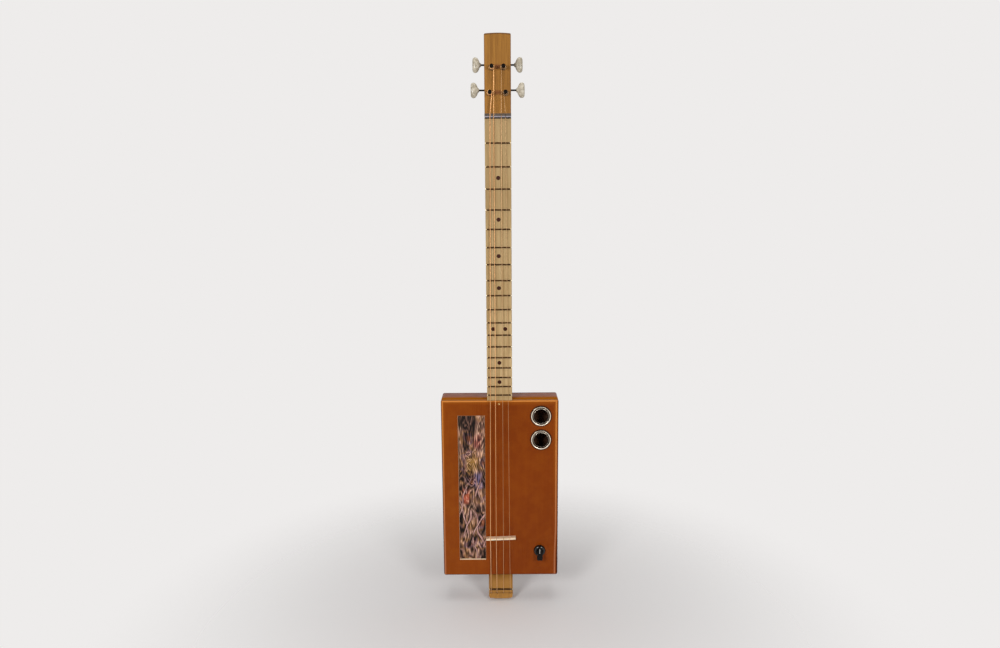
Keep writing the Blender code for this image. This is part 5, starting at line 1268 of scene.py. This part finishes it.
def hexagon(low, high, flat, bore, centre, axis=1):
    """A nut: a turned ring with bevelled rims, cut by six flats at one distance from its axis."""
    rim, bevel = 1.16 * flat, 0.12 * flat
    profile = [(bore, low), (flat, low), (rim, low + bevel), (rim, high - bevel), (flat, high), (bore, high)]
    points, blocks = turned(profile, (0, 0, 0), axis, 72, True)
    turn = np.tile(np.linspace(0, 2 * math.pi, 72, endpoint=False), len(profile) + 1)
    reach = np.linalg.norm(np.delete(points, axis, axis=1), axis=1)
    share = np.minimum(reach, flat / np.cos(turn % (math.pi / 3) - math.pi / 6)) / reach
    scale = np.insert(np.stack((share, share), axis=-1), axis, 1, axis=1)
    return points * scale + np.array(centre) * (np.arange(3) != axis), blocks


control_metal = metal("control nickel", rgb(134, 128, 118), rgb(186, 180, 168), 0.28)
pot_line = [
    (0.01 * mm, POT_BACK - 2 * mm),
    (POT_BORE_R, POT_BACK - 2 * mm),
    (POT_BORE_R, POT_END),
    (POT_BUSHING_R, POT_END),
    (POT_BUSHING_R, LID_BACK + 0.02 * mm),
    (POT_CAN_R, LID_BACK + 0.02 * mm),
    (POT_CAN_R, POT_BACK),
    (0.01 * mm, POT_BACK),
]
pot_centre = (KNOB_X, 0, KNOB_Z)
washer = [(4.0 * mm, LID_FRONT), (4.0 * mm, -47.4 * mm), (5.8 * mm, -47.4 * mm), (5.8 * mm, LID_FRONT)]
pot_parts = (
    turned(softened(pot_line, 0.3 * mm), pot_centre),
    turned(washer, pot_centre, 1, 48, True),
    hexagon(-49.3 * mm, -47.4 * mm, 5.0 * mm, 4.0 * mm, pot_centre),
)
piece(joined("volume_control", *pot_parts), control_metal, replaces=("volume_pot",), sharp=40.0)

# The knob is moulded in black phenolic: a round skirt with a pointer bar across it. It is hollow over the
# nut, and its shaft turns in the control. A white line on the bar shows the setting.
KNOB_BASE, KNOB_TOP, KNOB_SKIRT_R, KNOB_SLOPE, KNOB_BEVEL = -47.6 * mm, -60.1 * mm, 9.3 * mm, 0.2, 0.9 * mm


def pointer():
    """The bar: its outline carried from the skirt to a sloping top, whose edge is a quarter round."""
    half = np.array([(0, -10.8), (4.3, -10.8), (4.3, 0), (1.5, 9.5)]) * mm
    outline = softened(np.concatenate((half, half[::-1] * (-1, 1))), 1.5 * mm, 6)[:-1]
    turn = np.linspace(0, math.pi / 2, 6)
    inset = np.append(0, KNOB_BEVEL * (1 - np.cos(turn)))[:, None]
    level = np.append(KNOB_BASE - 1.4 * mm, KNOB_TOP + KNOB_BEVEL * (1 - np.sin(turn)))[:, None]
    slope = np.append(0, KNOB_SLOPE + 0 * turn)[:, None]
    across, along = outline.T[:, None, :]
    x, z = across * (1 - inset / (4.3 * mm)), along * (1 - inset / (9.5 * mm))
    return skin(np.stack((KNOB_X + x, level + slope * along, KNOB_Z + z), axis=-1))


shoulder = np.linspace(0, math.pi / 2, 10)
skirt_rim = np.stack((6.1 + 3.0 * np.cos(shoulder), -49.4 - 3.0 * np.sin(shoulder)), axis=-1)
knob_inside = [(0.01, -35.2), (3.0, -35.2), (3.0, -50.6), (6.1, -50.6), (6.1, -47.6), (9.15, -47.6), (9.3, -47.75)]
knob_line = np.concatenate((knob_inside, skirt_rim, [(0.01, -52.4)])) * mm
phenolic = Finish("black phenolic", {"Specular IOR Level": 0.14, "Coat Roughness": 0.06})
phenolic_cloud = phenolic.noise(phenolic.place(), 160.0, 3.0, 0.6)
knob_x, knob_y, knob_z = phenolic.parts(phenolic.place())
pointer_line = knob_x.near(KNOB_X, 0.26 * mm, 0.34 * mm) * knob_z.near(KNOB_Z + 3.4 * mm, 3.3 * mm, 3.4 * mm)
pointer_line = pointer_line * (1 - knob_y.rising(-57.2 * mm, -57.0 * mm))
phenolic_tone = phenolic.mix(phenolic_cloud, rgb(6, 5, 5), rgb(18, 15, 14))
phenolic.colour(phenolic.mix(pointer_line, phenolic_tone, rgb(226, 220, 208)))
phenolic.roughness(0.08 + 0.16 * phenolic_cloud)
knob_reach = ((knob_x - KNOB_X) * (knob_x - KNOB_X) + (knob_z - KNOB_Z) * (knob_z - KNOB_Z)) ** 0.5
knob_shoulder = knob_reach.near(7.4 * mm, 1.0 * mm, 1.7 * mm) * knob_y.rising(-53.0 * mm, -52.6 * mm)
phenolic.feed(phenolic.shader.inputs["Coat Weight"], knob_shoulder * 0.7)
phenolic.bump(phenolic.noise(phenolic.place(), 1200.0, 2.0), 0.01 * mm)
knob_parts = (turned(knob_line, pot_centre, 1, 72), pointer())
piece(joined("pointer_knob", *knob_parts), phenolic, "knob", ("knob",), 50.0)

# The output jack sits in the bottom wall beside the neck. A washer and a hexagon nut hold its bushing from
# outside, and a sprung contact reaches up from its body inside.
JACK_END, JACK_BORE_R = BOX_BOTTOM - 2.7 * mm, 3.4 * mm
jack_centre = (JACK_X, JACK_Y, 0)
jack_wall = BOX_BOTTOM + WALL_THICKNESS
jack_ring = [
    (JACK_BORE_R, BOX_BOTTOM + 11.8 * mm),
    (JACK_BORE_R, JACK_END),
    (4.75 * mm, JACK_END),
    (4.75 * mm, jack_wall),
    (6.6 * mm, jack_wall),
    (6.6 * mm, BOX_BOTTOM + 11.8 * mm),
]
jack_washer = [(4.8, -0.6), (4.8, 0), (7.4, 0), (7.4, -0.6)]
contact = np.array([(43.3, -137.2), (44.1, -137.2), (44.1, -121.2), (42.5, -117.2), (41.7, -117.2), (43.3, -121.2)]) * mm
jack_parts = (
    turned(softened(jack_ring, 0.3 * mm), jack_centre, 2, 48, True),
    turned(np.array(jack_washer) * mm + (0, BOX_BOTTOM), jack_centre, 2, 48, True),
    hexagon(BOX_BOTTOM - 2.4 * mm, BOX_BOTTOM - 0.6 * mm, 6.1 * mm, 4.7 * mm, jack_centre, 2),
    prism(contact, JACK_Y - 2.2 * mm, JACK_Y + 2.2 * mm),
)
piece(joined("jack_socket", *jack_parts), control_metal, replaces=("output_jack",), sharp=40.0)

# The pickup is a brass disc with a pale ceramic layer, glued under the lid behind the bridge.
disc_line = [(0.01, -42.98), (13.5, -42.98), (13.5, -42.35), (10.0, -42.35), (10.0, -42.0), (0.01, -42.0)]
disc_brass = metal("pickup brass", rgb(158, 122, 62), rgb(208, 172, 104), 0.25)
disc_x, disc_y, disc_z = disc_brass.parts(disc_brass.place())
disc_reach = (disc_x * disc_x + (disc_z - BRIDGE_Z) * (disc_z - BRIDGE_Z)) ** 0.5
ceramic = (1 - disc_reach.rising(10.0 * mm, 10.1 * mm)) * disc_y.rising(-42.4 * mm, -42.3 * mm)
disc_brass.colour(disc_brass.mix(ceramic, disc_brass.tone, rgb(214, 206, 190)))
disc_brass.feed(disc_brass.shader.inputs["Metallic"], 1 - ceramic)
disc_shell = turned(softened(np.array(disc_line) * mm, 0.1 * mm), (0, 0, BRIDGE_Z), 1, 64)
piece(joined("pickup_disc", disc_shell), disc_brass, replaces=("piezo_disc",), sharp=40.0)
